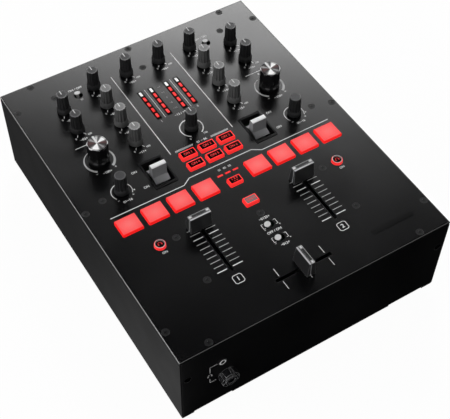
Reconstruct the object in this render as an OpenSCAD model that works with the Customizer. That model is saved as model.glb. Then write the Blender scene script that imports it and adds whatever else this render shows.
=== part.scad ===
// Two-channel battle mixer in the 10-inch format.
// x runs to the right, y to the back, z up. The origin is on the ground under the middle of the
// whole object. Places on the faceplate are measured from the middle of the faceplate.

/* [Housing] */
// Width of the housing
body_w = 254; // [253:0.5:256]
// Depth of the housing, front face to rear face
body_d = 318.4; // [318:0.2:322]
// Height of the housing without its feet
body_h = 87.6; // [80:0.2:110]
// Thickness of the folded steel sheet
sheet_t = 1.5; // [1.2:0.1:1.6]
// Thickness of the faceplate
plate_t = 2; // [1.8:0.1:2.2]
// Radius on the upper edges of the faceplate
plate_edge_r = 1.2; // [0.6:0.1:1.4]
// Width of the flanges that carry the faceplate
flange_w = 11; // [9:0.5:12]
// Height of each rubber foot
foot_h = 8; // [6:0.5:14]
// Radius of each rubber foot at the ground
foot_r = 11; // [9:0.5:13]

/* [Control columns and rows] */
// Distance of the outer control columns from the centre line
outer_x = 85.9; // [85.5:0.1:86.5]
// Distance of the inner control columns from the centre line
inner_x = 49.7; // [49.4:0.1:50]
// Distance of the two middle knobs of the back row from the centre line
middle_x = 16.7; // [16:0.1:18]
// Back row of knobs
back_row_y = 126.5; // [126:0.1:127]
// Back knobs of the outer columns
outer_row_y = 113; // [112:0.1:114]
// Pitch of the knob rows
row_pitch = 26.1; // [25.5:0.1:26.3]
// Filter knobs
filter_y = 46.3; // [46:0.1:47]
// Loop encoders
loop_y = 6.3; // [6:0.1:7]
// Effect mix knob on the centre line
mix_y = 38.5; // [38:0.1:39]
// Effect paddles
paddle_y = 9.3; // [9:0.1:9.6]

/* [Knobs] */
// Height of a small knob above the faceplate
knob_h = 20.9; // [19:0.1:23]
// Radius of a small knob's skirt
knob_skirt_r = 6.3; // [6:0.1:6.8]
// Radius over the ribs of a small knob, at the top
knob_top_r = 4.95; // [4.7:0.05:5.1]
// Number of flutes on a small knob
knob_flutes = 12; // [8:1:14]
// Height of a filter knob
filter_h = 21.7; // [20:0.1:24]
// Radius of a filter knob over its ribs
filter_r = 9.2; // [9:0.1:9.6]
// Number of flutes on a filter knob
filter_flutes = 8; // [6:1:8]
// Gap between a knob and the faceplate
knob_gap = 0.8; // [0.6:0.1:1]
// Radius of every control shaft
shaft_r = 3; // [2.9:0.05:3]

/* [Faders] */
// Travel of a channel fader
fader_travel = 46.8; // [45:0.1:47]
// Place of a channel fader's knob at the top of its travel
fader_top_y = -58.2; // [-58.4:0.1:-58]
// Travel of the crossfader, end to end
cross_travel = 45; // [40:0.5:45]
// Place of the crossfader slot
cross_y = -134.7; // [-135:0.1:-134]
// Width of a fader slot
slot_w = 3.3; // [3:0.1:3.5]
// Length of a fader knob
cap_l = 20; // [18:0.1:21]
// Height of a fader knob above the faceplate
cap_h = 16.2; // [14:0.1:18]

/* [Pads and buttons] */
// Distance of the first pad from the centre line
pad_first_x = 25.6; // [25.4:0.1:26]
// Pitch of the pads
pad_pitch = 24; // [23.8:0.1:24.2]
// Row of the pads
pad_y = -28.1; // [-28.4:0.1:-28]
// Width of a pad
pad_w = 19; // [18:0.1:20]
// Depth of a pad
pad_d = 16.9; // [16:0.1:18]
// Height of a pad above the faceplate
pad_h = 2.4; // [2:0.1:3]
// Travel of a pad or button
press = 1; // [0.6:0.1:1.2]
// Width of an effect button
effect_w = 15.2; // [14:0.1:16.4]
// Depth of an effect button
effect_d = 8.4; // [8:0.1:10]
// Pitch of the effect buttons across
effect_pitch = 18.65; // [18.4:0.05:18.9]
// Rows of effect buttons
effect_rows = [12.2, -0.5];
// Height of the effect, pad mode and shift buttons
button_h = 3.2; // [2.5:0.1:4]
// Radius of a cue button
cue_r = 4.75; // [4.5:0.05:5]
// Height of a cue button
cue_h = 2.6; // [2.4:0.1:4]

/* [Paddles and toggles] */
// Width of an effect paddle
paddle_w = 13.9; // [13:0.1:14.4]
// Height of a paddle's blade above the faceplate
paddle_h = 10.5; // [9:0.1:12]
// Depth of a paddle's pivot under the faceplate
paddle_pivot = 16; // [15.5:0.1:16.5]
// Radius of the drum that closes a paddle's window
drum_r = 15; // [14.5:0.1:15.2]
// Width of a paddle frame
frame_w = 21.4; // [21:0.1:22]
// Depth of a paddle frame
frame_d = 32.3; // [31.5:0.1:33]
// Height of a toggle's tip above the faceplate
toggle_h = 1.7; // [1.5:0.1:3]
// Depth of a toggle's pivot under the faceplate
toggle_pivot = 9; // [8.6:0.1:9.4]
// Lean of a toggle to each side
toggle_lean = 11; // [8:0.5:12]

/* [Sockets] */
// Bore of a 6.35 mm jack
jack_r = 3.2; // [3.18:0.01:3.3]
// Bore of the 3.5 mm jack
minijack_r = 1.8; // [1.76:0.01:1.9]
// How far the front 6.35 mm jack stands out
jack_out = 7.6; // [6:0.1:8]
// Length of a phono socket's barrel
phono_out = 9.5; // [9:0.1:10]
// Radius of a phono socket's barrel
phono_r = 4.15; // [4:0.05:4.2]

/* [Hidden] */
$fn = 48;
top_z = foot_h + body_h;
floor_z = foot_h;
inner_floor_z = foot_h + sheet_t;
under_plate = -plate_t;
centre_y = (jack_out - phono_out) / 2;
front_y = -body_d / 2;
rear_y = body_d / 2;
fit = 0.06;          // radial clearance of a shaft in its bushing
seam = 0.1;          // gap between sheets of the housing
clear = 0.35;        // gap between a moving piece and its surroundings
board_top = -15;     // upper face of the control board, from the top of the faceplate
board_t = 1.6;
panel_w = body_w - 2 * sheet_t - 2 * seam;
flange_x = body_w / 2 - sheet_t - flange_w;
screw_r = 1.5;
screw_head_r = 3.2;
screw_sink = 1.7;
edge_inset = 4.7;
pot_top = -3;
pot_w = 12;
cap_d = 8;
cap_top_d = 5.2;
lip_d = 1.6;         // width of the lip along a fader knob's front edge
grip_l = 12.4;
grip_d = 2;
grip_y = -0.1;
rod_r = 1;
rod_x = 3;
rod_z = -10;
carriage_l = 9;
track_w = 12;
track_wall = 0.8;
slot_over = 7.2;     // length of a slot beyond the travel
drum_half = 36;      // half angle of the paddle drum
blade_round = 1.2;   // radius along the top of the paddle's blade
window_w = 18.3;
window_d = 27.4;
toggle_hole_r = 4;
screw_end_z = floor_z + 57.5;
screw_end_x = 120.5;
bottom_screw_x = 52.7;
foot_x = 100;
foot_y = 134;
jack_x = -85.5;
jack_z = floor_z + 35.5;
minijack_x = -90;
minijack_z = floor_z + 58.5;
socket_z = floor_z + 42;
socket_low_z = floor_z + 31;
socket_high_z = floor_z + 54;
rocker_x = 104;
power_x = 82;
usb_x = 62;
xlr_x = [36, 6];
booth_x = -22;
mic_x = -43;
phono_x = [-62, -81];
ground_x = -103;

BLACK = [0.09, 0.09, 0.09];
KNOB = [0.05, 0.05, 0.05];
GREY = [0.5, 0.5, 0.5];
RED = [0.95, 0.2, 0.18];
STEEL = [0.75, 0.75, 0.75];

// name, x, y and colour of the cap
small_knobs = [
    ["mic_level_knob", -outer_x, outer_row_y, KNOB],
    ["mic_tone_knob", -outer_x, outer_row_y - row_pitch, KNOB],
    ["phones_level_knob", outer_x, outer_row_y, KNOB],
    ["phones_mix_knob", outer_x, outer_row_y - row_pitch, KNOB],
    ["trim_knob_1", -inner_x, back_row_y, KNOB],
    ["treble_knob_1", -inner_x, back_row_y - row_pitch, GREY],
    ["mid_knob_1", -inner_x, back_row_y - 2 * row_pitch, GREY],
    ["bass_knob_1", -inner_x, back_row_y - 3 * row_pitch, GREY],
    ["trim_knob_2", inner_x, back_row_y, KNOB],
    ["treble_knob_2", inner_x, back_row_y - row_pitch, GREY],
    ["mid_knob_2", inner_x, back_row_y - 2 * row_pitch, GREY],
    ["bass_knob_2", inner_x, back_row_y - 3 * row_pitch, GREY],
    ["master_level_knob", -middle_x, back_row_y, KNOB],
    ["booth_level_knob", middle_x, back_row_y, KNOB],
    ["effect_mix_knob", 0, mix_y, KNOB]
];
// name, x, y and the way the tip leans at rest
toggles = [
    ["input_toggle_1", -66.5, 124.3, 0],
    ["input_toggle_2", 66.5, 124.3, 0],
    ["reverse_toggle", 0, -85.2, 90],
    ["slope_toggle", 0, -100.7, 90]
];
// name, x, y, width and depth of the two mode buttons
mode_buttons = [
    ["pad_mode_button", 0, -33, 12.6, 8.1],
    ["shift_button", 0, -57.5, 12.6, 8.4]
];
sides = [-1, 1];
cue_x = 86.1;
cue_y = -58.3;
effect_spots = [for (row = [0, 1]) for (col = [-1, 0, 1]) [col * effect_pitch, effect_rows[row]]];
pad_spots = [for (i = [0 : 7])
    [i < 4 ? -pad_first_x - (3 - i) * pad_pitch : pad_first_x + (i - 4) * pad_pitch, pad_y]];
button_spots = concat(
    [for (p = pad_spots) [p.x, p.y, pad_w, pad_d]],
    [for (p = effect_spots) [p.x, p.y, effect_w, effect_d]],
    [for (b = mode_buttons) [b[1], b[2], b[3], b[4]]]
);
edge_screws = concat(
    [for (s = sides) for (y = [-body_d / 2 + edge_inset, body_d / 2 - edge_inset]) [s * 99.1, y]],
    [for (s = sides) for (y = [130.8, 0.5, -130.3]) [s * (body_w / 2 - edge_inset), y]],
    [[0, body_d / 2 - edge_inset]]
);
inner_screws = concat(
    [for (s = sides) for (p = [[86.2, 131.8], [104.2, 5.7], [71.2, -58.1], [71.3, -105.9]])
        [s * p.x, p.y]],
    [[0, 125.9], [0, -71.8]]
);
meter_x = [-18.3, -7.75, 7.75, 18.3];
meter_y = 80.65;
meter_led_pitch = 7.4;
mode_window_y = -21.5;
mode_led_x = [-7.5, 0, 7.5];

// ---- placing ----

module in_frame() translate([0, centre_y, 0]) children();

module on_plate(x, y) in_frame() translate([x, y, top_z]) children();

// local z points out of the front face, local y up
module on_front(x, z) in_frame() translate([x, front_y, z]) rotate([90, 0, 0]) children();

// local z points out of the rear face, local y up
module on_rear(x, z) in_frame() translate([x, rear_y, z]) rotate([90, 0, 180]) children();

// ---- shared shapes ----

module rounded_rect(w, d, r) {
    square([w - 2 * r, d], center = true);
    square([w, d - 2 * r], center = true);
    for (sx = sides)
        for (sy = sides)
            translate([sx * (w / 2 - r), sy * (d / 2 - r)]) circle(r);
}

module slab(w, d, r, z0, z1) translate([0, 0, z0]) linear_extrude(z1 - z0) rounded_rect(w, d, r);

module block(w, d, z0, z1) translate([-w / 2, -d / 2, z0]) cube([w, d, z1 - z0]);

module tube(outer, inner, z0, z1) translate([0, 0, z0]) difference() {
    cylinder(r = outer, h = z1 - z0);
    translate([0, 0, -1]) cylinder(r = inner, h = z1 - z0 + 2);
}

module trapezoid(w, h, inset)
    polygon([[-w / 2, 0], [w / 2, 0], [w / 2 - inset, h], [-w / 2 + inset, h]]);

// block whose four sides lean in by inset over its height
module tapered_block(w, d, h, inset) intersection() {
    rotate([90, 0, 0]) linear_extrude(d, center = true) trapezoid(w, h, inset);
    rotate([90, 0, 90]) linear_extrude(w, center = true) trapezoid(d, h, inset);
}

module bar_with_top_corners(w, h, r) intersection() {
    translate([-w / 2, 0]) square([w, h]);
    translate([0, h / 2 - r]) rounded_rect(w, h + 2 * r, r);
}

// flat plate with its four upper edges rounded
module soft_plate(w, d, t, r) intersection() {
    rotate([90, 0, 0]) linear_extrude(d, center = true) bar_with_top_corners(w, t, r);
    rotate([90, 0, 90]) linear_extrude(w, center = true) bar_with_top_corners(d, t, r);
}

module countersink(depth) {
    translate([0, 0, -depth]) cylinder(r = screw_r + seam, h = depth + 1);
    translate([0, 0, -screw_sink])
        cylinder(r1 = screw_r + seam, r2 = screw_head_r + seam, h = screw_sink);
    cylinder(r = screw_head_r + seam, h = 1);
}

module flat_screw(length) rotate_extrude()
    polygon([[0, -length], [screw_r, -length], [screw_r, -screw_sink],
        [screw_head_r - seam, -seam], [screw_head_r - seam, -seam / 2], [0, -seam / 2]]);

module pan_screw(length) rotate_extrude()
    polygon([[0, -length], [screw_r, -length], [screw_r, 0], [2.9, 0], [2.9, 1.2], [2.3, 1.9], [0, 2.1]]);

// ---- housing ----

module faceplate() color(BLACK) difference() {
    on_plate(0, 0) translate([0, 0, under_plate]) soft_plate(body_w, body_d, plate_t, plate_edge_r);
    for (k = small_knobs) plate_hole(k[1], k[2], shaft_r + 1);
    for (s = sides) {
        plate_hole(s * outer_x, filter_y, shaft_r + 1);
        plate_hole(s * outer_x, loop_y, shaft_r + 1);
        plate_hole(s * cue_x, cue_y, cue_r + clear);
        on_plate(s * inner_x, paddle_y) block(window_w + 2.1, window_d + 2.6, -4, 1);
        on_plate(s * inner_x, fader_top_y - fader_travel / 2)
            block(slot_w, fader_travel + slot_over, -4, 1);
    }
    on_plate(0, cross_y) block(cross_travel + slot_over, slot_w, -4, 1);
    for (t = toggles) plate_hole(t[1], t[2], toggle_hole_r);
    for (b = button_spots)
        on_plate(b[0], b[1]) slab(b[2] + 2 * clear, b[3] + 2 * clear, 1.2, -4, 1);
    for (x = meter_x) on_plate(x, meter_y) block(5, 38.3, -4, 1);
    on_plate(0, mode_window_y) block(25.2, 5.8, -4, 1);
    for (p = concat(edge_screws, inner_screws)) on_plate(p.x, p.y) countersink(4);
}

module plate_hole(x, y, r) on_plate(x, y) translate([0, 0, -4]) cylinder(r = r, h = 5);

// bottom and both sides folded from one sheet, with flanges under the faceplate
module chassis() color(BLACK) in_frame() difference() {
    union() {
        rotate([90, 0, 0]) linear_extrude(body_d, center = true) chassis_section();
        for (s = sides)
            for (f = sides)
                translate([s * (flange_x + flange_w / 2), f * (body_d / 2 - 1.6 * sheet_t - seam), 0])
                    block(flange_w + 0.4, sheet_t * 0.8, inner_floor_z - 0.2,
                        top_z - plate_t - sheet_t + 0.2);
    }
    for (s = sides)
        for (f = sides) {
            // the flange stops short of the front and rear panels
            translate([s * (flange_x + flange_w / 2 - 0.5), f * body_d / 2, 0])
                block(flange_w + 1, 2 * (sheet_t + seam), top_z - plate_t - 3 * sheet_t, top_z);
            translate([s * foot_x, f * foot_y, floor_z - 1]) cylinder(r = screw_r + seam, h = 5);
            translate([s * bottom_screw_x, f * (body_d / 2 - 5), floor_z - 1])
                cylinder(r = screw_r + seam, h = 5);
            translate([s * screw_end_x, f * body_d / 2, screw_end_z])
                rotate([90, 0, 0]) cylinder(r = screw_r + seam, h = 12, center = true);
        }
    // the bottom's front edge is cut back behind the front feet
    for (s = sides) translate([s * 97.5, front_y, 0]) block(36, 8, floor_z - 1, inner_floor_z + 0.01);
    for (s = sides)
        for (i = [0 : 8])
            translate([s * 56, 30 - i * 12, 0]) slab(44, 3, 1.4, floor_z - 1, inner_floor_z + 1);
    for (p = edge_screws)
        translate([p.x, p.y, top_z - 8]) cylinder(r = screw_r + seam, h = 8);
}

module chassis_section() difference() {
    translate([0, (floor_z + top_z - plate_t) / 2])
        rounded_rect(body_w, top_z - plate_t - floor_z, 2);
    translate([0, (floor_z + top_z - plate_t) / 2])
        square([body_w - 2 * sheet_t, top_z - plate_t - floor_z - 2 * sheet_t], center = true);
    translate([-flange_x, top_z - plate_t - sheet_t - 1]) square([2 * flange_x, sheet_t + 2]);
}

// front or rear wall: a web between the sides with a flange at its top and bottom
module end_panel() {
    w = 2 * flange_x - 1;
    h0 = inner_floor_z + seam;
    h1 = top_z - plate_t - seam;
    translate([0, -sheet_t / 2, 0]) block(panel_w, sheet_t, h0, h1);
    translate([0, -flange_w / 2, 0]) {
        block(w, flange_w, h0, h0 + sheet_t);
        block(w, flange_w, h1 - sheet_t, h1);
    }
}

module end_panel_screw_holes() {
    for (s = sides) {
        translate([s * screw_end_x, 0, screw_end_z]) rotate([-90, 0, 0]) countersink(4);
        translate([s * bottom_screw_x, -5, floor_z]) cylinder(r = screw_r + seam, h = 5);
        translate([s * 99.1, -edge_inset, top_z - 6]) cylinder(r = screw_r + seam, h = 6);
    }
    translate([0, -edge_inset, top_z - 6]) cylinder(r = screw_r + seam, h = 6);
}

module front_panel() color(BLACK) difference() {
    in_frame() translate([0, front_y, 0]) mirror([0, 1, 0]) difference() {
        end_panel();
        end_panel_screw_holes();
    }
    on_front(jack_x, jack_z) cylinder(r = 5.4, h = 8, center = true);
    on_front(minijack_x, minijack_z) cylinder(r = 3.2, h = 8, center = true);
}

module rear_panel() color(BLACK) difference() {
    in_frame() translate([0, rear_y, 0]) difference() {
        end_panel();
        end_panel_screw_holes();
    }
    on_rear(-rocker_x, socket_z) block(12.8, 19, -6, 6);
    on_rear(-power_x, socket_z) cylinder(r = 5.7, h = 8, center = true);
    on_rear(-usb_x, socket_z) block(12.4, 11.4, -6, 6);
    for (x = xlr_x) on_rear(-x, socket_z) {
        cylinder(r = 11.7, h = 8, center = true);
        xlr_screw_spots() cylinder(r = screw_r + seam, h = 8, center = true);
    }
    for (z = [socket_low_z, socket_high_z]) {
        on_rear(-booth_x, z) cylinder(r = 5.4, h = 8, center = true);
        for (x = phono_x) on_rear(-x, z) cylinder(r = phono_r + 0.7, h = 8, center = true);
    }
    on_rear(-mic_x, socket_z) cylinder(r = 5.4, h = 8, center = true);
    on_rear(-ground_x, socket_z) cylinder(r = 2.1, h = 8, center = true);
}

module feet() color(KNOB)
    for (sx = sides)
        for (sy = sides)
            in_frame() translate([sx * foot_x, sy * foot_y, 0]) rotate_extrude()
                polygon([[3.6, 0], [foot_r - 0.8, 0], [foot_r, 0.8], [foot_r + 1.2, foot_h - 1],
                    [foot_r + 1.2, foot_h], [screw_r + seam, foot_h], [screw_r + seam, foot_h - 3],
                    [3.6, foot_h - 3]]);

module screws() color(KNOB) {
    for (p = edge_screws) on_plate(p.x, p.y) flat_screw(6);
    for (p = inner_screws) on_plate(p.x, p.y) flat_screw(8);
    for (s = sides) {
        on_front(s * screw_end_x, screw_end_z) flat_screw(5);
        on_rear(s * screw_end_x, screw_end_z) flat_screw(5);
        for (f = sides) in_frame() {
            translate([s * bottom_screw_x, f * (body_d / 2 - 5), floor_z]) rotate([180, 0, 0]) pan_screw(5);
            translate([s * foot_x, f * foot_y, floor_z - 3]) rotate([180, 0, 0]) pan_screw(7);
        }
    }
    for (x = xlr_x) on_rear(-x, socket_z) xlr_screw_spots() translate([0, 0, 1.8]) pan_screw(6);
}

// ---- inside ----

module circuit_boards() {
    color([0.05, 0.3, 0.15]) difference() {
        on_plate(0, -1) block(224, 296, board_top - board_t, board_top);
        for (s = sides)
            on_plate(s * inner_x, paddle_y) block(frame_w + 3, frame_d + 4, board_top - 4, board_top + 2);
        for (p = inner_screws)
            on_plate(p.x, p.y) translate([0, 0, board_top - 3]) cylinder(r = screw_r + seam, h = 6);
    }
    color([0.05, 0.3, 0.15]) in_frame() translate([0, 78, 0])
        block(210, 110, inner_floor_z + 8, inner_floor_z + 8 + board_t);
    // spacers: hexagonal under the faceplate, round on the floor
    color(STEEL) for (p = inner_screws)
        on_plate(p.x, p.y) difference() {
            translate([0, 0, board_top]) cylinder(r = 3.2, h = -board_top + under_plate, $fn = 6);
            translate([0, 0, board_top - 1]) cylinder(r = screw_r + 0.05, h = 20);
        }
    color(STEEL) for (s = sides)
        for (y = [30, 126])
            in_frame() translate([s * 96, y, inner_floor_z]) cylinder(r = 3, h = 8);
    // converters and processor on the main board
    color(KNOB) in_frame() for (p = [[-60, 90, 20], [0, 70, 28], [60, 90, 20]])
        translate([p.x, p.y, 0])
            block(p[2], p[2], inner_floor_z + 8 + board_t, inner_floor_z + 10 + board_t);
    color(STEEL) in_frame() for (x = [-84 : 24 : 84])
        translate([x, 40, inner_floor_z + 8 + board_t]) cylinder(r = 4, h = 11);
}

// rotary potentiometer with a blind bore for its shaft
module pot_body() difference() {
    union() {
        block(pot_w, pot_w, board_top, board_top + 5.5);
        translate([0, 0, board_top + 5]) cylinder(r = 4.2, h = pot_top - board_top - 5);
    }
    translate([0, 0, board_top + 0.5]) cylinder(r = shaft_r + fit, h = 20);
}

// tactile switch whose fixed pin guides a button's stem
module switch_body() {
    block(6, 6, board_top, board_top + 3.4);
    translate([0, 0, board_top + 3]) cylinder(r = 1.5, h = 3.4);
}

module toggle_body() difference() {
    block(9, 9, board_top, -toggle_pivot + 2);
    block(4, 10, board_top + 2.5, 0);
    translate([0, 0, -toggle_pivot]) rotate([0, 90, 0]) cylinder(r = 0.8 + fit, h = 10, center = true);
}

// channel of folded sheet with two guide rods, open at the top
module fader_track(travel) {
    l = travel + slot_over + 6;
    difference() {
        block(track_w, l, board_top, -5);
        block(track_w - 2 * track_wall, l - 2 * track_wall, board_top + track_wall, 0);
    }
    for (s = sides) translate([s * rod_x, 0, rod_z]) rotate([90, 0, 0])
        cylinder(r = rod_r, h = l - track_wall, center = true);
}

module control_bodies() {
    color(STEEL) {
        for (k = small_knobs) on_plate(k[1], k[2]) pot_body();
        for (s = sides) {
            on_plate(s * outer_x, filter_y) pot_body();
            on_plate(s * outer_x, loop_y) pot_body();
            on_plate(s * inner_x, fader_top_y - fader_travel / 2) fader_track(fader_travel);
        }
        on_plate(0, cross_y) rotate([0, 0, -90]) fader_track(cross_travel);
    }
    color(KNOB) {
        for (t = toggles) on_plate(t[1], t[2]) rotate([0, 0, t[3]]) toggle_body();
        for (b = button_spots) on_plate(b[0], b[1]) switch_body();
        for (s = sides) on_plate(s * cue_x, cue_y) switch_body();
    }
}

module meter_leds() {
    color(KNOB) {
        for (x = meter_x) on_plate(x, meter_y) {
            block(4.9, 38.2, -3, 0.1);
            block(3.6, 36, board_top, -2.5);
        }
        on_plate(0, mode_window_y) {
            block(25.1, 5.7, -3, 0.1);
            block(22, 3.6, board_top, -2.5);
        }
    }
    for (x = meter_x)
        for (i = [-2 : 2])
            color(i == 2 ? "white" : RED)
                on_plate(x, meter_y + 0.8 + i * meter_led_pitch)
                    translate([0, 0, 0.1]) tapered_block(2.4, 5, 0.35, 0.15);
    color(RED) for (x = mode_led_x) on_plate(x, mode_window_y)
        translate([0, 0, 0.1]) tapered_block(5.3, 1.7, 0.35, 0.15);
}

// ---- effect paddles ----

module paddle_frames() color(BLACK)
    for (s = sides) on_plate(s * inner_x, paddle_y) {
        difference() {
            union() {
                slab(frame_w, frame_d, 1, 0, 0.5);
                block(window_w + 1.9, window_d + 2.4, -7, 0.2);
                // ears that hold the pivot pin
                for (e = sides) translate([e * (window_w / 2 + 0.1), 0, 0])
                    block(1.7, 9, -paddle_pivot - 4, -6);
            }
            block(window_w - 1.5, window_d, -8, 2);
            block(window_w, window_d, -6, 2);
            translate([0, 0, -paddle_pivot]) rotate([0, 90, 0])
                cylinder(r = 1.5 + fit, h = 30, center = true);
        }
    }

// the lever's blade and drum, seen from the side; x is the back, y is up, from the pivot
module paddle_side() {
    top = paddle_pivot + paddle_h;
    difference() {
        intersection() {
            circle(drum_r);
            polygon([[0, 0], [-30 * sin(drum_half), 30 * cos(drum_half)],
                [30 * sin(drum_half), 30 * cos(drum_half)]]);
        }
        circle(drum_r - 1.6);
    }
    polygon([[-3.4, drum_r - 1], [3.4, drum_r - 1], [2.8, drum_r + 2], [2.45, top - blade_round],
        [-2.45, top - blade_round], [-2.8, drum_r + 2]]);
    translate([blade_round - 2.45, top - blade_round - 0.5])
        square([4.9 - 2 * blade_round, blade_round + 0.5]);
    for (s = sides) translate([s * (2.45 - blade_round), top - blade_round]) circle(blade_round);
}

module effect_paddle(s) color([0.6, 0.6, 0.6]) on_plate(s * inner_x, paddle_y)
    translate([0, 0, -paddle_pivot]) {
        rotate([90, 0, 90]) linear_extrude(paddle_w, center = true) paddle_side();
        rotate([90, 0, 90]) linear_extrude(8, center = true)
            polygon([[-3.5, 0], [3.5, 0], [3.3, drum_r - 1.3], [-3.3, drum_r - 1.3]]);
        rotate([0, 90, 0]) cylinder(r = 4, h = 8, center = true);
        rotate([0, 90, 0]) cylinder(r = 1.5, h = window_w + 1.5, center = true);
    }

// ---- knobs ----

module flutes(count, crest_r, r, depth, z0, z1)
    for (i = [0 : count - 1])
        rotate([0, 0, (i + 0.5) * 360 / count])
            translate([crest_r + r - depth, 0, z0]) cylinder(r = r, h = z1 - z0);

// knob and shaft in one revolved body; shaft_end lists the profile of the lower end of the shaft
module small_knob_body(shaft_end, top) difference() {
    rotate_extrude() polygon(concat(shaft_end, [
        [shaft_r, 5], [knob_skirt_r - 1.2, 5], [knob_skirt_r - 1, knob_gap],
        [knob_skirt_r - 0.3, knob_gap], [knob_skirt_r, knob_gap + 0.3], [knob_skirt_r - 0.1, 4.2],
        [knob_top_r + 0.35, 6.9], [knob_top_r, top], [0, top]]));
    flutes(knob_flutes, knob_top_r, 1.1, 0.4, 6.2, knob_h + 1);
}

// shallow dished cap on top of a small knob
module small_knob_cap() difference() {
    rotate_extrude() polygon([[0, knob_h - 1.1], [knob_top_r, knob_h - 1.1],
        [knob_top_r, knob_h - 0.3], [knob_top_r - 0.3, knob_h], [knob_top_r - 1.1, knob_h],
        [knob_top_r - 1.5, knob_h - 0.3], [0, knob_h - 0.3]]);
    flutes(knob_flutes, knob_top_r, 1.1, 0.4, 6.2, knob_h + 1);
}

module small_knob(k) on_plate(k[1], k[2]) {
    color(KNOB) small_knob_body([[0, board_top + 2], [shaft_r, board_top + 2]], knob_h - 1.1);
    color(k[3]) small_knob_cap();
}

// wide grip flutes of a filter knob; each runs out in a curve above the skirt
module filter_grips() for (i = [0 : filter_flutes - 1])
    rotate([0, 0, i * 360 / filter_flutes]) translate([filter_r + 5.1, 0, 0]) {
        translate([0, 0, 5]) cylinder(r = 6, h = filter_h);
        translate([0, 0, 3.6]) cylinder(r1 = 5.2, r2 = 6, h = 1.4);
    }

module filter_knob(s) on_plate(s * outer_x, filter_y) {
    color(KNOB) difference() {
        rotate_extrude() polygon([[0, board_top + 2], [shaft_r, board_top + 2], [shaft_r, 6],
            [filter_r - 1.4, 6], [filter_r - 1.2, knob_gap], [filter_r - 0.4, knob_gap],
            [filter_r, knob_gap + 0.4], [filter_r, 4.6], [filter_r - 0.15, 5.4],
            [filter_r - 0.3, filter_h - 1.3], [0, filter_h - 1.3]]);
        filter_grips();
    }
    color(STEEL) difference() {
        rotate_extrude() polygon([[0, filter_h - 1.3], [filter_r - 0.3, filter_h - 1.3],
            [filter_r - 0.3, filter_h - 0.6], [filter_r - 1, filter_h], [0, filter_h]]);
        filter_grips();
    }
}

// push switch inside an encoder; its pin centres the knob's shaft
module loop_plunger(s) color(STEEL) on_plate(s * outer_x, loop_y) rotate_extrude()
    polygon([[0, board_top + 1.8], [shaft_r - 0.05, board_top + 1.8], [shaft_r - 0.05, board_top + 2.8],
        [1.2, board_top + 2.8], [1.2, board_top + 5.8], [0, board_top + 5.8]]);

module loop_knob(s) on_plate(s * outer_x, loop_y) {
    color(KNOB) small_knob_body([[0, board_top + 6.2], [1.2 + fit, board_top + 6.2],
        [1.2 + fit, board_top + 3.1], [shaft_r, board_top + 3.1]], knob_h - 1.1);
    // plain cap with a sunk disc
    color(KNOB) rotate_extrude() polygon([[0, knob_h - 1.1], [knob_top_r - 0.1, knob_h - 1.1],
        [knob_top_r - 0.1, knob_h - 0.4], [knob_top_r - 0.5, knob_h], [knob_top_r - 0.9, knob_h],
        [knob_top_r - 1.1, knob_h - 0.3], [0, knob_h - 0.3]]);
}

// ---- faders ----

// knob, tongue and carriage; the fader moves along local y
module fader_lever() {
    color(KNOB) difference() {
        rotate([90, 0, 90]) linear_extrude(cap_l, center = true)
            polygon([[-cap_d / 2, knob_gap], [cap_d / 2, knob_gap], [cap_d / 2 - 0.2, knob_gap + 1.5],
                [cap_top_d / 2 + 0.1, cap_h - 2.5], [cap_top_d / 2, cap_h - 0.3],
                [cap_top_d / 2 - 0.3, cap_h], [lip_d - cap_top_d / 2 + 0.4, cap_h],
                [lip_d - cap_top_d / 2 + 0.4, cap_h - 0.7], [lip_d - cap_top_d / 2, cap_h - 0.7],
                [lip_d - cap_top_d / 2, cap_h], [-cap_top_d / 2 + 0.3, cap_h],
                [-cap_top_d / 2, cap_h - 0.3], [-cap_top_d / 2 - 0.1, cap_h - 2.5],
                [-cap_d / 2 + 0.2, knob_gap + 1.5]]);
        // ends lean in a little toward the top
        for (s = sides) translate([s * (cap_l / 2 + 2), 0, 0]) rotate([0, -s * 1.5, 0])
            block(4, 12, knob_gap - 2, cap_h + 2);
        // grip recess between the ridge's two ends
        translate([-grip_l / 2, grip_y, cap_h - 0.55]) cube([grip_l, grip_d, 1]);
        block(1.7, 4.1, -1, 4);
    }
    // fine ribs across the grip recess
    color(KNOB) for (i = [-5 : 5])
        translate([i * 1.05 - 0.2, grip_y, cap_h - 0.55]) cube([0.4, grip_d, 0.4]);
    color(STEEL) translate([0, 0, 0]) block(1.6, 4, rod_z, 4);
    color(GREY) difference() {
        block(track_w - 2 * track_wall - 2 * clear, carriage_l, rod_z - 2.4, rod_z + 2.4);
        block(1.6, 4, rod_z, rod_z + 5);
        for (s = sides) translate([s * rod_x, 0, rod_z]) rotate([90, 0, 0])
            cylinder(r = rod_r + fit, h = 20, center = true);
    }
}

module channel_fader(s) on_plate(s * inner_x, fader_top_y) fader_lever();

module crossfader() on_plate(0, cross_y) rotate([0, 0, -90]) fader_lever();

// ---- toggles, pads and buttons ----

module toggle(t) color(STEEL) on_plate(t[1], t[2]) rotate([0, 0, t[3]])
    translate([0, 0, -toggle_pivot]) rotate([-toggle_lean, 0, 0]) {
        rotate_extrude() polygon([[0, -1.6], [1.5, -1.6], [1.3, toggle_pivot - 0.5],
            [1.8, toggle_pivot + toggle_h - 0.8], [2.75, toggle_pivot + toggle_h - 0.5],
            [2.75, toggle_pivot + toggle_h - 0.15], [2.6, toggle_pivot + toggle_h],
            [0, toggle_pivot + toggle_h]]);
        rotate([0, 90, 0]) cylinder(r = 0.8, h = 8.6, center = true);
    }

// stem under a button, bored to slide on the pin of its switch
module button_stem() difference() {
    translate([0, 0, board_top + 3.4 + press + clear])
        cylinder(r = 2.8, h = under_plate - clear - 0.9 - (board_top + 3.4 + press + clear));
    translate([0, 0, board_top]) cylinder(r = 1.5 + fit, h = 6.4 + press + clear);
}

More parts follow.
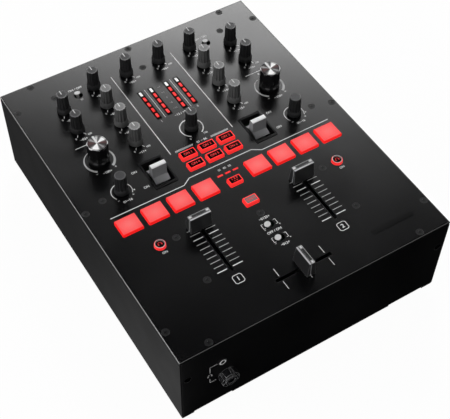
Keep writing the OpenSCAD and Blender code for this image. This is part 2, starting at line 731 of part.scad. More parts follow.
module button_cap(w, d, h, inset, r) {
    intersection() {
        translate([0, 0, 0.6]) tapered_block(w, d, h - 0.6, inset);
        slab(w, d, r, 0, h + 1);
    }
    slab(w, d, r, under_plate - clear - 0.1, 0.6);
    slab(w + 1.6, d + 1.6, r, under_plate - clear - 1, under_plate - clear);
    button_stem();
}

module pad(i) color(RED) on_plate(pad_spots[i].x, pad_spots[i].y) button_cap(pad_w, pad_d, pad_h, 0.5, 1.2);

module effect_button(i) {
    on_plate(effect_spots[i].x, effect_spots[i].y) {
        color(RED) difference() {
            button_cap(effect_w, effect_d, button_h, 0.6, 1.1);
            block(effect_w - 2.3, effect_d - 2.3, button_h - 0.3, button_h + 1);
        }
        color(KNOB) block(effect_w - 2.4, effect_d - 2.4, button_h - 0.3, button_h - 0.1);
    }
}

module mode_button(b) {
    on_plate(b[1], b[2]) {
        color(RED) difference() {
            button_cap(b[3], b[4], button_h, 0.6, 1.1);
            block(b[3] - 2.3, b[4] - 2.3, button_h - 0.3, button_h + 1);
        }
        color(GREY) block(b[3] - 2.4, b[4] - 2.4, button_h - 0.3, button_h - 0.1);
    }
}

module cue_button(s) on_plate(s * cue_x, cue_y) {
    color(RED) {
        rotate_extrude() polygon([[0, under_plate - clear - 1], [cue_r + 1.2, under_plate - clear - 1],
            [cue_r + 1.2, under_plate - clear], [cue_r, under_plate - clear], [cue_r, cue_h - 0.6],
            [cue_r - 0.3, cue_h - 0.2], [cue_r - 0.4, cue_h - 0.2], [cue_r - 0.4, cue_h - 0.5],
            [0, cue_h - 0.5]]);
        button_stem();
    }
    color(STEEL) tube(cue_r - 0.5, cue_r - 1.4, cue_h - 0.5, cue_h);
}

// ---- sockets ----

module hex_nut(across, bore, h) difference() {
    cylinder(r = across / 2 / cos(30), h = h, $fn = 6);
    translate([0, 0, -1]) cylinder(r = bore, h = h + 2);
}

// round nut with slots along its side
module slotted_nut(r, bore, h) difference() {
    cylinder(r = r, h = h);
    translate([0, 0, -1]) cylinder(r = bore, h = h + 2);
    for (i = [0 : 5]) rotate([0, 0, i * 60 + 15]) translate([r, 0, 1]) block(3, 2.2, 0, h);
}

// 6.35 mm jack; local z points out of the panel
module jack(out) {
    color(KNOB) difference() {
        union() {
            translate([0, 0, -sheet_t - 2]) cylinder(r = 5.2, h = out + sheet_t + 2);
            block(15.5, 15.5, -sheet_t - 22, -sheet_t);
        }
        translate([0, 0, -sheet_t - 20]) cylinder(r = jack_r, h = out + 40);
    }
    color(KNOB) slotted_nut(8, 5.25, out - 1);
}

module minijack() {
    color(KNOB) difference() {
        union() {
            translate([0, 0, -sheet_t - 2]) cylinder(r = 3, h = sheet_t + 3.2);
            block(9, 9, -sheet_t - 14, -sheet_t);
        }
        translate([0, 0, -sheet_t - 13]) cylinder(r = minijack_r, h = 30);
    }
    color(STEEL) tube(3.7, 3.05, 0, 1);
}

module phono(ring) {
    color(STEEL) difference() {
        union() {
            translate([0, 0, -sheet_t - 2]) cylinder(r = phono_r + 0.5, h = sheet_t + 3.6);
            cylinder(r = phono_r, h = phono_out);
            block(12, 12, -sheet_t - 14, -sheet_t);
        }
        translate([0, 0, 1]) cylinder(r = 1.6, h = phono_out);
    }
    color(ring) tube(5.9, phono_r + 0.55, 0, 1.6);
}

module xlr_screw_spots() for (s = sides) translate([s * 9.5, s * 12, 0]) children();

// three-pin output whose pins stand on the shell's floor
module xlr() {
    color(KNOB) difference() {
        union() {
            slab(26, 31, 3, 0, 1.8);
            translate([0, 0, -18]) cylinder(r = 11.5, h = 18.5);
        }
        translate([0, 0, -16]) cylinder(r = 9.6, h = 30);
        xlr_screw_spots() translate([0, 0, -1]) cylinder(r = screw_r + seam, h = 5);
    }
    color(STEEL) for (a = [30, 150, 270]) rotate([0, 0, a])
        translate([5.2, 0, -16]) cylinder(r = 1.2, h = 13);
}

module usb_port() color(STEEL) {
    difference() {
        block(12, 11, -14, 0.4);
        block(8.5, 7.8, -12, 2);
    }
    block(5.6, 3.2, -12, -0.6);
}

module power_inlet() {
    color(KNOB) difference() {
        union() {
            translate([0, 0, -sheet_t - 2]) cylinder(r = 5.5, h = sheet_t + 4);
            block(13, 13, -sheet_t - 12, -sheet_t);
        }
        translate([0, 0, -sheet_t - 9]) cylinder(r = 3.1, h = 30);
    }
    color(KNOB) hex_nut(14, 5.55, 1.4);
    color(STEEL) translate([0, 0, -sheet_t - 9]) cylinder(r = 1, h = 10);
}

module ground_post() color(STEEL) {
    translate([0, 0, -sheet_t - 5]) cylinder(r = 2, h = sheet_t + 6);
    tube(4.2, 2.05, 0, 1);
    difference() {
        rotate_extrude() polygon([[0, 1], [3.4, 1], [3.4, 2.2], [5, 2.4], [5, 8.4], [4.4, 9], [0, 9]]);
        flutes(16, 5, 0.7, 0.35, 2, 10);
    }
}

module rocker_frame() color(KNOB) difference() {
    union() {
        slab(15, 21, 1.2, 0, 2);
        block(12.6, 18.8, -16, 0.5);
    }
    block(10.9, 17, -14, 3);
    translate([0, 0, -3]) rotate([0, 90, 0]) cylinder(r = 1.1 + fit, h = 30, center = true);
}

module sockets() {
    on_front(jack_x, jack_z) jack(jack_out);
    on_front(minijack_x, minijack_z) minijack();
    for (z = [socket_low_z, socket_high_z]) {
        on_rear(-booth_x, z) jack(5);
        for (x = phono_x) on_rear(-x, z) phono(z > socket_z ? "white" : RED);
    }
    on_rear(-mic_x, socket_z) jack(5);
    for (x = xlr_x) on_rear(-x, socket_z) xlr();
    on_rear(-usb_x, socket_z) usb_port();
    on_rear(-power_x, socket_z) power_inlet();
    on_rear(-ground_x, socket_z) ground_post();
    on_rear(-rocker_x, socket_z) rocker_frame();
}

// rests with its lower half pressed in
module power_rocker() color(KNOB) on_rear(-rocker_x, socket_z) translate([0, 0, -3])
    rotate([9, 0, 0]) {
        rotate([90, 0, 90]) linear_extrude(10.2, center = true)
            polygon([[-7.2, -1], [-2, -6], [2, -6], [7.2, -1], [7.2, 5.4], [0, 3.6], [-7.2, 5.4]]);
        rotate([0, 90, 0]) cylinder(r = 1.1, h = 12.2, center = true);
    }

faceplate();
chassis();
front_panel();
rear_panel();
feet();
screws();
circuit_boards();
control_bodies();
meter_leds();
paddle_frames();
sockets();
crossfader();
power_rocker();
for (k = small_knobs) small_knob(k);
for (t = toggles) toggle(t);
for (b = mode_buttons) mode_button(b);
for (i = [0 : 7]) pad(i);
for (i = [0 : 5]) effect_button(i);
for (i = [0, 1]) filter_knob(sides[i]);
for (i = [0, 1]) loop_plunger(sides[i]);
for (i = [0, 1]) loop_knob(sides[i]);
for (i = [0, 1]) channel_fader(sides[i]);
for (i = [0, 1]) effect_paddle(sides[i]);
for (i = [0, 1]) cue_button(sides[i]);
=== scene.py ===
import bpy
import bmesh
import math
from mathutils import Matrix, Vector


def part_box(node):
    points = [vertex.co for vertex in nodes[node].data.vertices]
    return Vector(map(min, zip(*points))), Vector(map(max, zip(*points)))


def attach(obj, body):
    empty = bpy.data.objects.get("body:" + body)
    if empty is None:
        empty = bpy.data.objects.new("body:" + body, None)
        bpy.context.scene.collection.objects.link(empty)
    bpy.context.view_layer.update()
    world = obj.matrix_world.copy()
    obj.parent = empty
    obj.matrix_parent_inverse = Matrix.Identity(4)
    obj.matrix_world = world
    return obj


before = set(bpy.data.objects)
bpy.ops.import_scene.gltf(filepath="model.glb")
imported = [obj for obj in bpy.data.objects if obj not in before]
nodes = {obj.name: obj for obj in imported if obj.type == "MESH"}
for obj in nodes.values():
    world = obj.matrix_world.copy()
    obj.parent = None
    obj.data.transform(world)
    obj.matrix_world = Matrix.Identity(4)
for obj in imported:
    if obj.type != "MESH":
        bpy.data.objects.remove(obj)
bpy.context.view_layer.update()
scene = bpy.context.scene
print("frame loaded:", len(nodes), "nodes")

# the faceplate's top and the housing's floor in the frame, in metres
plate = dict(z=0.0956, y=-0.00095, foot=0.008)
mm = 0.001


def onPlate(x, y, h=0.0):
    # a place on the faceplate, in millimetres from its middle and over its top
    return Vector((x * mm, y * mm + plate["y"], plate["z"] + h * mm))


# node groups

def newGroup(name, inputs, outputs):
    group = bpy.data.node_groups.new(name, "ShaderNodeTree")
    for label, kind, default in inputs:
        socket = group.interface.new_socket(name=label, in_out="INPUT", socket_type=kind)
        socket.default_value = default
    for label, kind in outputs:
        group.interface.new_socket(name=label, in_out="OUTPUT", socket_type=kind)
    return group, group.nodes.new("NodeGroupInput"), group.nodes.new("NodeGroupOutput")


def newNode(tree, kind):
    return tree.nodes.new("ShaderNode" + kind)


def mathNode(tree, operation, a, b=None, clamp=False):
    node = newNode(tree, "Math")
    node.operation = operation
    node.use_clamp = clamp
    for socket, value in zip(node.inputs, (a, b)):
        if value is None:
            continue
        if isinstance(value, (int, float)):
            socket.default_value = value
        else:
            tree.links.new(value, socket)
    return node.outputs[0]


def buildSurfaceGrain():
    # fine moulded or sprayed texture: a height and a slow change of tone
    group, groupIn, groupOut = newGroup(
        "surfaceGrain",
        [("Scale", "NodeSocketFloat", 900.0), ("Blotch Scale", "NodeSocketFloat", 18.0)],
        [("Height", "NodeSocketFloat"), ("Tone", "NodeSocketFloat")])
    coords = newNode(group, "TexCoord")
    for source, target, detail in (("Scale", "Height", 3), ("Blotch Scale", "Tone", 4)):
        noise = newNode(group, "TexNoise")
        noise.inputs["Detail"].default_value = detail
        group.links.new(coords.outputs["Object"], noise.inputs["Vector"])
        group.links.new(groupIn.outputs[source], noise.inputs["Scale"])
        group.links.new(noise.outputs["Fac"], groupOut.inputs[target])
    return group


edgeMask = dict(samples=4, gain=3.0)


def buildEdgeWearAndGlint():
    # mask of convex edges, broken up by noise: it lays rubbed paint and painted highlights along edges
    group, groupIn, groupOut = newGroup(
        "edgeWearAndGlint",
        [("Width", "NodeSocketFloat", 0.0006), ("Breakup", "NodeSocketFloat", 260.0)],
        [("Mask", "NodeSocketFloat")])
    bevel = newNode(group, "Bevel")
    bevel.samples = edgeMask["samples"]
    geometry = newNode(group, "NewGeometry")
    dot = newNode(group, "VectorMath")
    dot.operation = "DOT_PRODUCT"
    noise = newNode(group, "TexNoise")
    coords = newNode(group, "TexCoord")
    group.links.new(groupIn.outputs["Width"], bevel.inputs["Radius"])
    group.links.new(bevel.outputs["Normal"], dot.inputs[0])
    group.links.new(geometry.outputs["Normal"], dot.inputs[1])
    group.links.new(coords.outputs["Object"], noise.inputs["Vector"])
    group.links.new(groupIn.outputs["Breakup"], noise.inputs["Scale"])
    turn = mathNode(group, "SUBTRACT", 1.0, dot.outputs["Value"], True)
    wide = mathNode(group, "MULTIPLY", turn, edgeMask["gain"], True)
    broken = mathNode(group, "MULTIPLY", wide, noise.outputs["Fac"], True)
    group.links.new(broken, groupOut.inputs["Mask"])
    return group


# each fan of painted reflection on a turned face, for the wedges of light and for where the dark ones look
# warm: its angle from the pointer, sharpness and share
spunReflectionFans = {
    "Wedge": ((1.1, 30.0, 2.5), (-2.6, 16.0, 3.0), (2.6, 60.0, 0.3), (-0.7, 60.0, 0.35), (0.2, 60.0, 0.6)),
    "Warm": ((1.75, 30.0, 0.7), (-1.25, 16.0, 0.6))}
spunFloor = 0.02


def buildSpunReflection():
    # painted reflection: fans of light round the middle of a turned face, and where its dark parts look
    # warm
    group, groupIn, groupOut = newGroup(
        "paintedSpunReflection",
        [("Centre", "NodeSocketVector", (0, 0, 0)), ("Turn", "NodeSocketFloat", 0.0)],
        [("Wedge", "NodeSocketFloat"), ("Warm", "NodeSocketFloat")])
    coords = newNode(group, "TexCoord")
    away = newNode(group, "VectorMath")
    away.operation = "SUBTRACT"
    split = newNode(group, "SeparateXYZ")
    group.links.new(coords.outputs["Object"], away.inputs[0])
    group.links.new(groupIn.outputs["Centre"], away.inputs[1])
    group.links.new(away.outputs["Vector"], split.inputs["Vector"])
    angle = mathNode(group, "ARCTAN2", split.outputs["Y"], split.outputs["X"])
    turned = mathNode(group, "ADD", angle, groupIn.outputs["Turn"])
    for label, fans in spunReflectionFans.items():
        total = spunFloor
        for turn, sharp, share in fans:
            fan = mathNode(group, "COSINE", mathNode(group, "ADD", turned, turn))
            fan = mathNode(group, "POWER", mathNode(group, "MAXIMUM", fan, 0.0), sharp)
            total = mathNode(group, "ADD", mathNode(group, "MULTIPLY", fan, share), total, True)
        group.links.new(total, groupOut.inputs[label])
    return group


grainGroup = buildSurfaceGrain()
wearGlintGroup = buildEdgeWearAndGlint()
spunReflectionGroup = buildSpunReflection()


# materials

def colour(value):
    # sRGB hex to the linear colour that Blender wants
    parts = [int(value[i:i + 2], 16) / 255 for i in (1, 3, 5)]
    return tuple(c / 12.92 if c <= 0.04045 else ((c + 0.055) / 1.055) ** 2.4 for c in parts) + (1,)


def useGroup(tree, group, **values):
    node = newNode(tree, "Group")
    node.node_tree = group
    for label, value in values.items():
        node.inputs[label].default_value = value
    return node


def mixColour(tree, factor, a, b):
    mix = newNode(tree, "Mix")
    mix.data_type = "RGBA"
    tree.links.new(factor, mix.inputs[0])
    for socket, value in ((mix.inputs[6], a), (mix.inputs[7], b)):
        if isinstance(value, tuple):
            socket.default_value = value
        else:
            tree.links.new(value, socket)
    return mix.outputs[2]


def ramp(tree, source, low, high, outLow, outHigh):
    node = newNode(tree, "MapRange")
    tree.links.new(source, node.inputs["Value"])
    for label, value in (("From Min", low), ("From Max", high), ("To Min", outLow), ("To Max", outHigh)):
        node.inputs[label].default_value = value
    return node.outputs["Result"]


# what every finish has unless it says otherwise: its edge colour stands for rubbed paint and for a painted
# highlight along edges, mixed in at the given share; the edge width, soften and bumpDepth are in
# millimetres
commonFinish = dict(wearGlintWidth=0.3, wearGlintShare=0.5, grain=1800, bump=0.02, soften=0.2, specular=0.5, metal=0)
finishes = {
    # the plate's edge colour is a painted highlight along slot and hole edges, and its rim colour a
    # painted highlight along the rounded outer edge
    "plateBlack": dict(base="#080809", tint="#0c0c0d", rough=(0.225, 0.26), wearGlint="#6a6a6c", wearGlintWidth=0.4,
        wearGlintShare=0.3, grain=1300, bump=0.05, soften=0.3, rim="#b0b0b0"),
    "housingBlack": dict(base="#060607", tint="#0a0a0b", rough=(0.46, 0.54), wearGlint="#5a5a5c", wearGlintWidth=0.5,
        wearGlintShare=0.4, grain=1200, bump=0.06, soften=0.4, specular=0.15),
    "rubberBlack": dict(base="#0d0d0d", tint="#171717", rough=(0.75, 0.9), wearGlint="#2c2c2c", wearGlintWidth=0.6,
        grain=700, bump=0.12, soften=0.4, specular=0.3),
    "screwBlack": dict(base="#0b0b0c", tint="#121213", rough=(0.45, 0.55), wearGlint="#8a8a8c", wearGlintShare=0.7,
        grain=2200, bump=0.03, soften=0.1, specular=0.4),
    "screwRing": dict(base="#1e1e1f", tint="#282829", rough=(0.45, 0.55), wearGlint="#7a7a7c", wearGlintWidth=0.2,
        wearGlintShare=0.4, grain=2200, soften=0.1, specular=0.4),
    "knobBlack": dict(base="#1a1a1b", tint="#222223", rough=(0.42, 0.52), wearGlint="#5c5c5e", wearGlintWidth=0.4,
        bump=0.05, specular=0.4),
    "knobGloss": dict(base="#0e0e0f", tint="#161617", rough=(0.2, 0.3), wearGlint="#5a5a5c", wearGlintWidth=0.4,
        specular=0.45),
    "knobGrey": dict(base="#4e4e4e", tint="#5a5a5a", rough=(0.42, 0.52), wearGlint="#a8a8a8", wearGlintWidth=0.4,
        bump=0.05, specular=0.35),
    "knobGreyCap": dict(base="#767676", tint="#828282", rough=(0.42, 0.52), wearGlint="#b8b8b8", wearGlintWidth=0.4,
        wearGlintShare=0.4, bump=0.04, specular=0.35),
    # a lighter copy of the grey cap colour: a painted highlight along the knobs' upper edges
    "knobGreyRim": dict(base="#8c8c8c", tint="#9c9c9c", rough=(0.36, 0.46), wearGlint="#d0d0d0", bump=0.03,
        soften=0.1, specular=0.4),
    "knobDarkCap": dict(base="#2c2c2d", tint="#363637", rough=(0.42, 0.52), wearGlint="#8a8a8a", wearGlintWidth=0.4,
        bump=0.04, specular=0.4),
    # a lighter copy of the dark cap colour: a painted highlight along the knobs' upper edges and on the
    # end screws' sinks
    "knobDarkRim": dict(base="#4e4e4f", tint="#5e5e5f", rough=(0.36, 0.46), wearGlint="#a0a0a0", wearGlintShare=0.6,
        bump=0.03, soften=0.1, specular=0.4),
    "encoderCap": dict(base="#303032", tint="#3a3a3c", rough=(0.4, 0.5), wearGlint="#9a9a9a", wearGlintShare=0.4,
        bump=0.04, specular=0.4),
    # the caps' bright edge colour is a painted highlight along their edges
    "faderBlack": dict(base="#232324", tint="#2c2c2d", rough=(0.3, 0.4), wearGlint="#c8c8ca", wearGlintWidth=0.7,
        wearGlintShare=0.9, grain=1500, bump=0.04, specular=0.45),
    "faderLip": dict(base="#a6a6a6", tint="#b6b6b6", rough=(0.28, 0.36), wearGlint="#e8e8e8", wearGlintWidth=0.5,
        wearGlintShare=0.8, grain=1500, bump=0.03),
    # the paddle's white edge colour is a painted highlight on its edges, and the next finish, a lighter
    # copy of the same grey for the paddle's top, is a painted highlight
    "paddleGrey": dict(base="#8e8e90", tint="#9c9c9e", rough=(0.42, 0.5), wearGlint="#e0e0e0", wearGlintWidth=0.6,
        wearGlintShare=0.6, grain=1400, bump=0.03, soften=0.5, specular=0.4),
    "paddleTopHighlight": dict(base="#ececec", tint="#f6f6f6", rough=(0.42, 0.5), wearGlint="#f0f0f0", wearGlintWidth=0.5,
        grain=1400, bump=0.03, soften=0.5, specular=0.4),
    "plainSteel": dict(base="#9a9a9c", tint="#b2b2b4", rough=(0.3, 0.45), wearGlint="#d8d8d8", wearGlintWidth=0.4,
        grain=900, bump=0.05, metal=1),
    "brightChrome": dict(base="#dcdcde", tint="#ececee", rough=(0.1, 0.2), wearGlint="#ffffff", wearGlintShare=0.3,
        grain=900, bump=0.01, metal=1),
    "togglePaint": dict(base="#c6c6c6", tint="#d6d6d6", rough=(0.25, 0.35), wearGlint="#ffffff", wearGlintShare=0.3,
        soften=0.3),
    "boardGreen": dict(base="#0b3a20", tint="#124a2a", rough=(0.35, 0.5), wearGlint="#c8a850", wearGlintWidth=0.4,
        wearGlintShare=0.3, grain=500, bump=0.03, soften=0.1),
    "windowBlack": dict(base="#020202", tint="#040404", rough=(0.2, 0.3), wearGlint="#202020", wearGlintShare=0.3,
        grain=900, bump=0.01, soften=0.1, specular=0.01),
    "socketBlack": dict(base="#101011", tint="#1b1b1c", rough=(0.26, 0.4), wearGlint="#9a9a9c", wearGlintWidth=0.5,
        wearGlintShare=0.8, grain=1100, bump=0.05),
    # the nut's near-white edge colour paints glints on its edges
    "jackNut": dict(base="#19191b", tint="#2e2e30", rough=(0.18, 0.3), wearGlint="#f0f0f2", wearGlintWidth=0.9,
        wearGlintShare=1, grain=1100, bump=0.04, soften=0.3, specular=0.6),
    "badgeBlack": dict(base="#040405", tint="#070708", rough=(0.24, 0.28), wearGlint="#4a4a4c", wearGlintShare=0.4,
        grain=1500, soften=0.1, specular=0.3),
    "edgeSilver": dict(base="#c4c4c6", tint="#d4d4d6", rough=(0.3, 0.4), wearGlint="#f0f0f0", grain=1500,
        soften=0.1),
    "markGrey": dict(base="#b0b0b0", tint="#c0c0c0", rough=(0.5, 0.6), wearGlint="#c0c0c0", wearGlintWidth=0.2,
        wearGlintShare=0.1, grain=1500, soften=0.1, specular=0.3),
    "markDim": dict(base="#808080", tint="#909090", rough=(0.5, 0.6), wearGlint="#a0a0a0", wearGlintWidth=0.2,
        wearGlintShare=0.1, grain=1500, soften=0.1, specular=0.3),
    "markWhite": dict(base="#dedede", tint="#eaeaea", rough=(0.45, 0.55), wearGlint="#f6f6f6", wearGlintWidth=0.2,
        wearGlintShare=0.1, grain=1500, soften=0.1, specular=0.3),
    "ringWhite": dict(base="#dcdcdc", tint="#ececec", rough=(0.3, 0.4), wearGlint="#ffffff", wearGlintShare=0.3,
        grain=900),
    "ringRed": dict(base="#a01410", tint="#b41e18", rough=(0.3, 0.4), wearGlint="#d05048", wearGlintShare=0.3, grain=900),
}
surface = dict(toneFrom=(0.35, 0.65), roughFrom=(0.3, 0.7), bumpDepth=0.2, softSamples=4)
# normal ranges that pick the rounded edge for its painted highlight
edgeHighlightMask = dict(up=(0.45, 0.6), down=(0.75, 0.9), left=(-0.5, 0.1), front=0.03)
materials = {}


def newMaterial(name):
    material = bpy.data.materials.new(name)
    material.use_nodes = True
    materials[name] = material
    return material.node_tree, material.node_tree.nodes["Principled BSDF"]


def paintedEdgeHighlight(tree):
    # painted highlight along the rounded upper edge, strongest where it faces left and faint elsewhere
    geometry = newNode(tree, "NewGeometry")
    split = newNode(tree, "SeparateXYZ")
    tree.links.new(geometry.outputs["Normal"], split.inputs["Vector"])
    up = ramp(tree, split.outputs["Z"], *edgeHighlightMask["up"], 0, 1)
    down = ramp(tree, split.outputs["Z"], *edgeHighlightMask["down"], 1, 0)
    left = ramp(tree, split.outputs["X"], *edgeHighlightMask["left"], 1, edgeHighlightMask["front"])
    return mathNode(tree, "MULTIPLY", mathNode(tree, "MULTIPLY", up, down), left, True)


def makeFinish(name):
    setting = {**commonFinish, **finishes[name]}
    tree, shader = newMaterial(name)
    grain = useGroup(tree, grainGroup, Scale=setting["grain"])
    wearGlint = useGroup(tree, wearGlintGroup, Width=setting["wearGlintWidth"] * mm)
    tone = ramp(tree, grain.outputs["Tone"], *surface["toneFrom"], 0, 1)
    body = mixColour(tree, tone, colour(setting["base"]), colour(setting["tint"]))
    # the edge colour is partly rubbed paint and partly a painted highlight along edges
    wearGlintShare = mathNode(tree, "MULTIPLY", wearGlint.outputs["Mask"], setting["wearGlintShare"], True)
    paint = mixColour(tree, wearGlintShare, body, colour(setting["wearGlint"]))
    # a painted highlight along the rounded edge, for finishes that have one
    if "rim" in setting:
        paint = mixColour(tree, paintedEdgeHighlight(tree), paint, colour(setting["rim"]))
    tree.links.new(paint, shader.inputs["Base Color"])
    rough = ramp(tree, grain.outputs["Tone"], *surface["roughFrom"], *setting["rough"])
    tree.links.new(rough, shader.inputs["Roughness"])
    bump = newNode(tree, "Bump")
    bump.inputs["Strength"].default_value = setting["bump"]
    bump.inputs["Distance"].default_value = surface["bumpDepth"] * mm
    soft = newNode(tree, "Bevel")
    soft.samples = surface["softSamples"]
    soft.inputs["Radius"].default_value = setting["soften"] * mm
    tree.links.new(soft.outputs["Normal"], bump.inputs["Normal"])
    tree.links.new(grain.outputs["Height"], bump.inputs["Height"])
    tree.links.new(bump.outputs["Normal"], shader.inputs["Normal"])
    shader.inputs["Metallic"].default_value = setting["metal"]
    shader.inputs["Specular IOR Level"].default_value = setting["specular"]


for finish in finishes:
    makeFinish(finish)


glows = {
    "padTop": dict(edge="#ff4444", middle="#ff6c6c", strength=0.12, rough=(0.5, 0.6)),
    "padSide": dict(edge="#ff1616", middle="#ff2020", strength=0.7, rough=(0.45, 0.55)),
    "buttonRed": dict(edge="#ff2a2a", middle="#ff3636", strength=0.7, rough=(0.4, 0.5)),
    "shiftTop": dict(edge="#6e6666", middle="#7c7272", strength=0.02, rough=(0.45, 0.55)),
    "markRed": dict(edge="#d82c2c", middle="#e83434", strength=0.2, rough=(0.4, 0.5)),
    "levelRed": dict(edge="#f01818", middle="#ff2424", strength=0.35, rough=(0.3, 0.4)),
    "levelWhite": dict(edge="#f4f4f4", middle="#ffffff", strength=0.25, rough=(0.3, 0.4)),
}
glowFade = dict(edge=1.15, middle=0.1, grain=1400.0)


def makeGlow(name):
    # lit translucent plastic: brighter toward the middle of the piece
    setting = glows[name]
    tree, shader = newMaterial(name)
    coords = newNode(tree, "TexCoord")
    centred = newNode(tree, "Mapping")  # -1 to 1 across the piece
    centred.inputs["Location"].default_value = (-1, -1, 0)
    centred.inputs["Scale"].default_value = (2, 2, 0)
    tree.links.new(coords.outputs["Generated"], centred.inputs["Vector"])
    length = newNode(tree, "VectorMath")
    length.operation = "LENGTH"
    tree.links.new(centred.outputs["Vector"], length.inputs[0])
    glow = ramp(tree, length.outputs["Value"], glowFade["edge"], glowFade["middle"], 0, 1)
    grain = useGroup(tree, grainGroup, Scale=glowFade["grain"])
    lit = mixColour(tree, glow, colour(setting["edge"]), colour(setting["middle"]))
    tree.links.new(lit, shader.inputs["Base Color"])
    tree.links.new(lit, shader.inputs["Emission Color"])
    shader.inputs["Emission Strength"].default_value = setting["strength"]
    rough = ramp(tree, grain.outputs["Tone"], *surface["roughFrom"], *setting["rough"])
    tree.links.new(rough, shader.inputs["Roughness"])


for glow in glows:
    makeGlow(glow)


# colours of the painted reflection on the filter knobs' turned faces
spunFace = dict(dark="#1c1c1e", bright="#ffffff", warm="#542624", rough=(0.45, 0.3), specular=0.15,
    turn=dict(filter_knob_1=0.15, filter_knob_2=-0.1))


def makeSpun(knob, centre):
    # turned metal face of a filter knob, its reflection painted: wedges of light, the dark ones a little
    # warm
    name = "spunFace_" + knob[-1]
    tree, shader = newMaterial(name)
    spun = useGroup(tree, spunReflectionGroup, Centre=centre, Turn=-math.pi / 2 + spunFace["turn"][knob])
    dark = mixColour(tree, spun.outputs["Warm"], colour(spunFace["dark"]), colour(spunFace["warm"]))
    lit = mixColour(tree, spun.outputs["Wedge"], dark, colour(spunFace["bright"]))
    tree.links.new(lit, shader.inputs["Base Color"])
    tree.links.new(ramp(tree, spun.outputs["Wedge"], 0, 1, *spunFace["rough"]), shader.inputs["Roughness"])
    shader.inputs["Specular IOR Level"].default_value = spunFace["specular"]
    return name


print("materials built:", len(materials))


# CAD nodes: a finish for every face. Places are in millimetres on the faceplate

smallKnobs = {
    "mic_level_knob": (-85.9, 113), "mic_tone_knob": (-85.9, 86.9),
    "phones_level_knob": (85.9, 113), "phones_mix_knob": (85.9, 86.9),
    "master_level_knob": (-16.7, 126.5), "booth_level_knob": (16.7, 126.5), "effect_mix_knob": (0, 38.5)}
for side, x in ((1, -49.7), (2, 49.7)):
    for name, y in (("trim", 126.5), ("treble", 100.4), ("mid", 74.3), ("bass", 48.2)):
        smallKnobs[f"{name}_knob_{side}"] = (x, y)
filterKnobs = {"filter_knob_1": (-85.9, 46.3), "filter_knob_2": (85.9, 46.3)}
loopKnobs = {"loop_knob_1": (-85.9, 6.3), "loop_knob_2": (85.9, 6.3)}
cueButtons = {"cue_button_1": (-86.1, -58.3), "cue_button_2": (86.1, -58.3)}
faderCaps = ("channel_fader_1", "channel_fader_2", "crossfader")
greyCapped = [name for name in smallKnobs if name.split("_")[0] in ("treble", "mid", "bass")]

# where one finish meets the next: heights over the faceplate and radii in millimetres, and how
# far up a face has to look
limits = {
    "knob": dict(cap=19.75, rim=math.inf, capRadius=3.5, upward=0.2),
    "encoder": dict(cap=20.4, rim=20.75, capRadius=3.9, upward=0.2),
    "filter": dict(cap=20.35, flat=0.9),
    "fader": dict(tongue=0.7, dish=15.4, top=16.1, lip=-0.9, pads=6.25, upward=0.6, flat=0.9),
    "window": dict(low=2.7, high=3.15, upward=0.8),
    "pad": dict(low=-math.inf, high=math.inf, upward=0.8),
    "cue": dict(face=2.05, ringIn=3.3, ringOut=4.3),
    "paddle": dict(low=8.5, high=math.inf, upward=0.35),
    "board": dict(upper=-14.9, lower=-78.6),
    "meter": dict(window=0.101, whiteFrom=92, whiteTo=101),
}


def dress(nodeName, finishNames, rule=None):
    # gives each face of a CAD node the finish that rule picks from its middle and normal
    obj = nodes[nodeName]
    obj.data.materials.clear()
    for name in finishNames:
        obj.data.materials.append(materials[name])
    for face in obj.data.polygons:
        face.material_index = rule(face.center, face.normal) if rule else 0


def heightOf(point):
    return (point.z - plate["z"]) / mm


def knobFinish(kind, centre):
    # 0 body, 1 cap, 2 the cap's rim, a lighter copy for a painted highlight on its upward edge, 3 shaft
    limit = limits[kind]

    def rule(point, normal):
        h = heightOf(point)
        if h < 0:
            return 3
        if h < limit["cap"] or normal.z < limit["upward"]:
            return 0
        return 1 if h < limit["rim"] and (point - centre).xy.length < limit["capRadius"] * mm else 2
    return rule


def filterFinish(point, normal):
    # 0 body, 1 turned face, 2 bright chamfer, 3 shaft
    h = heightOf(point)
    if h < 0:
        return 3
    if h < limits["filter"]["cap"]:
        return 0
    return 1 if normal.z > limits["filter"]["flat"] else 2


def faderFinish(middle, along, across):
    # 0 body, 1 bright lip and end pads on top, 2 steel tongue below, 3 dish between the pads
    limit = limits["fader"]

    def rule(point, normal):
        h = heightOf(point)
        if h < limit["tongue"]:
            return 2
        if normal.z < limit["upward"] or h < limit["top"]:
            return 3 if normal.z > limit["flat"] and h > limit["dish"] else 0
        offset = point - middle
        onLip = offset.dot(across) < limit["lip"] * mm
        return int(onLip or abs(offset.dot(along)) > limit["pads"] * mm)
    return rule


def topFinish(kind):
    # 1 for the top of a pad or paddle, and for the dark window sunk in a button's cap
    limit = limits[kind]

    def rule(point, normal):
        return int(normal.z > limit["upward"] and limit["low"] < heightOf(point) < limit["high"])
    return rule


def cueFinish(centre):
    # 0 red body, 1 bright ring, 2 dark face
    limit = limits["cue"]

    def rule(point, normal):
        away = (point - centre).xy.length / mm
        if heightOf(point) < limit["face"] or away > limit["ringOut"]:
            return 0
        return 1 if away > limit["ringIn"] else 2
    return rule


def boardFinish(point, normal):
    # 1 for the spacers above the upper board and below the lower one
    return int(not limits["board"]["lower"] <= heightOf(point) <= limits["board"]["upper"])


def meterFinish(point, normal):
    # 0 dark window, 1 red light, 2 white light, 3 strip of the mode lights
    limit = limits["meter"]
    if heightOf(point) < limit["window"]:
        return 0 if point.y > 0 else 3
    return 2 if limit["whiteFrom"] < point.y / mm < limit["whiteTo"] else 1


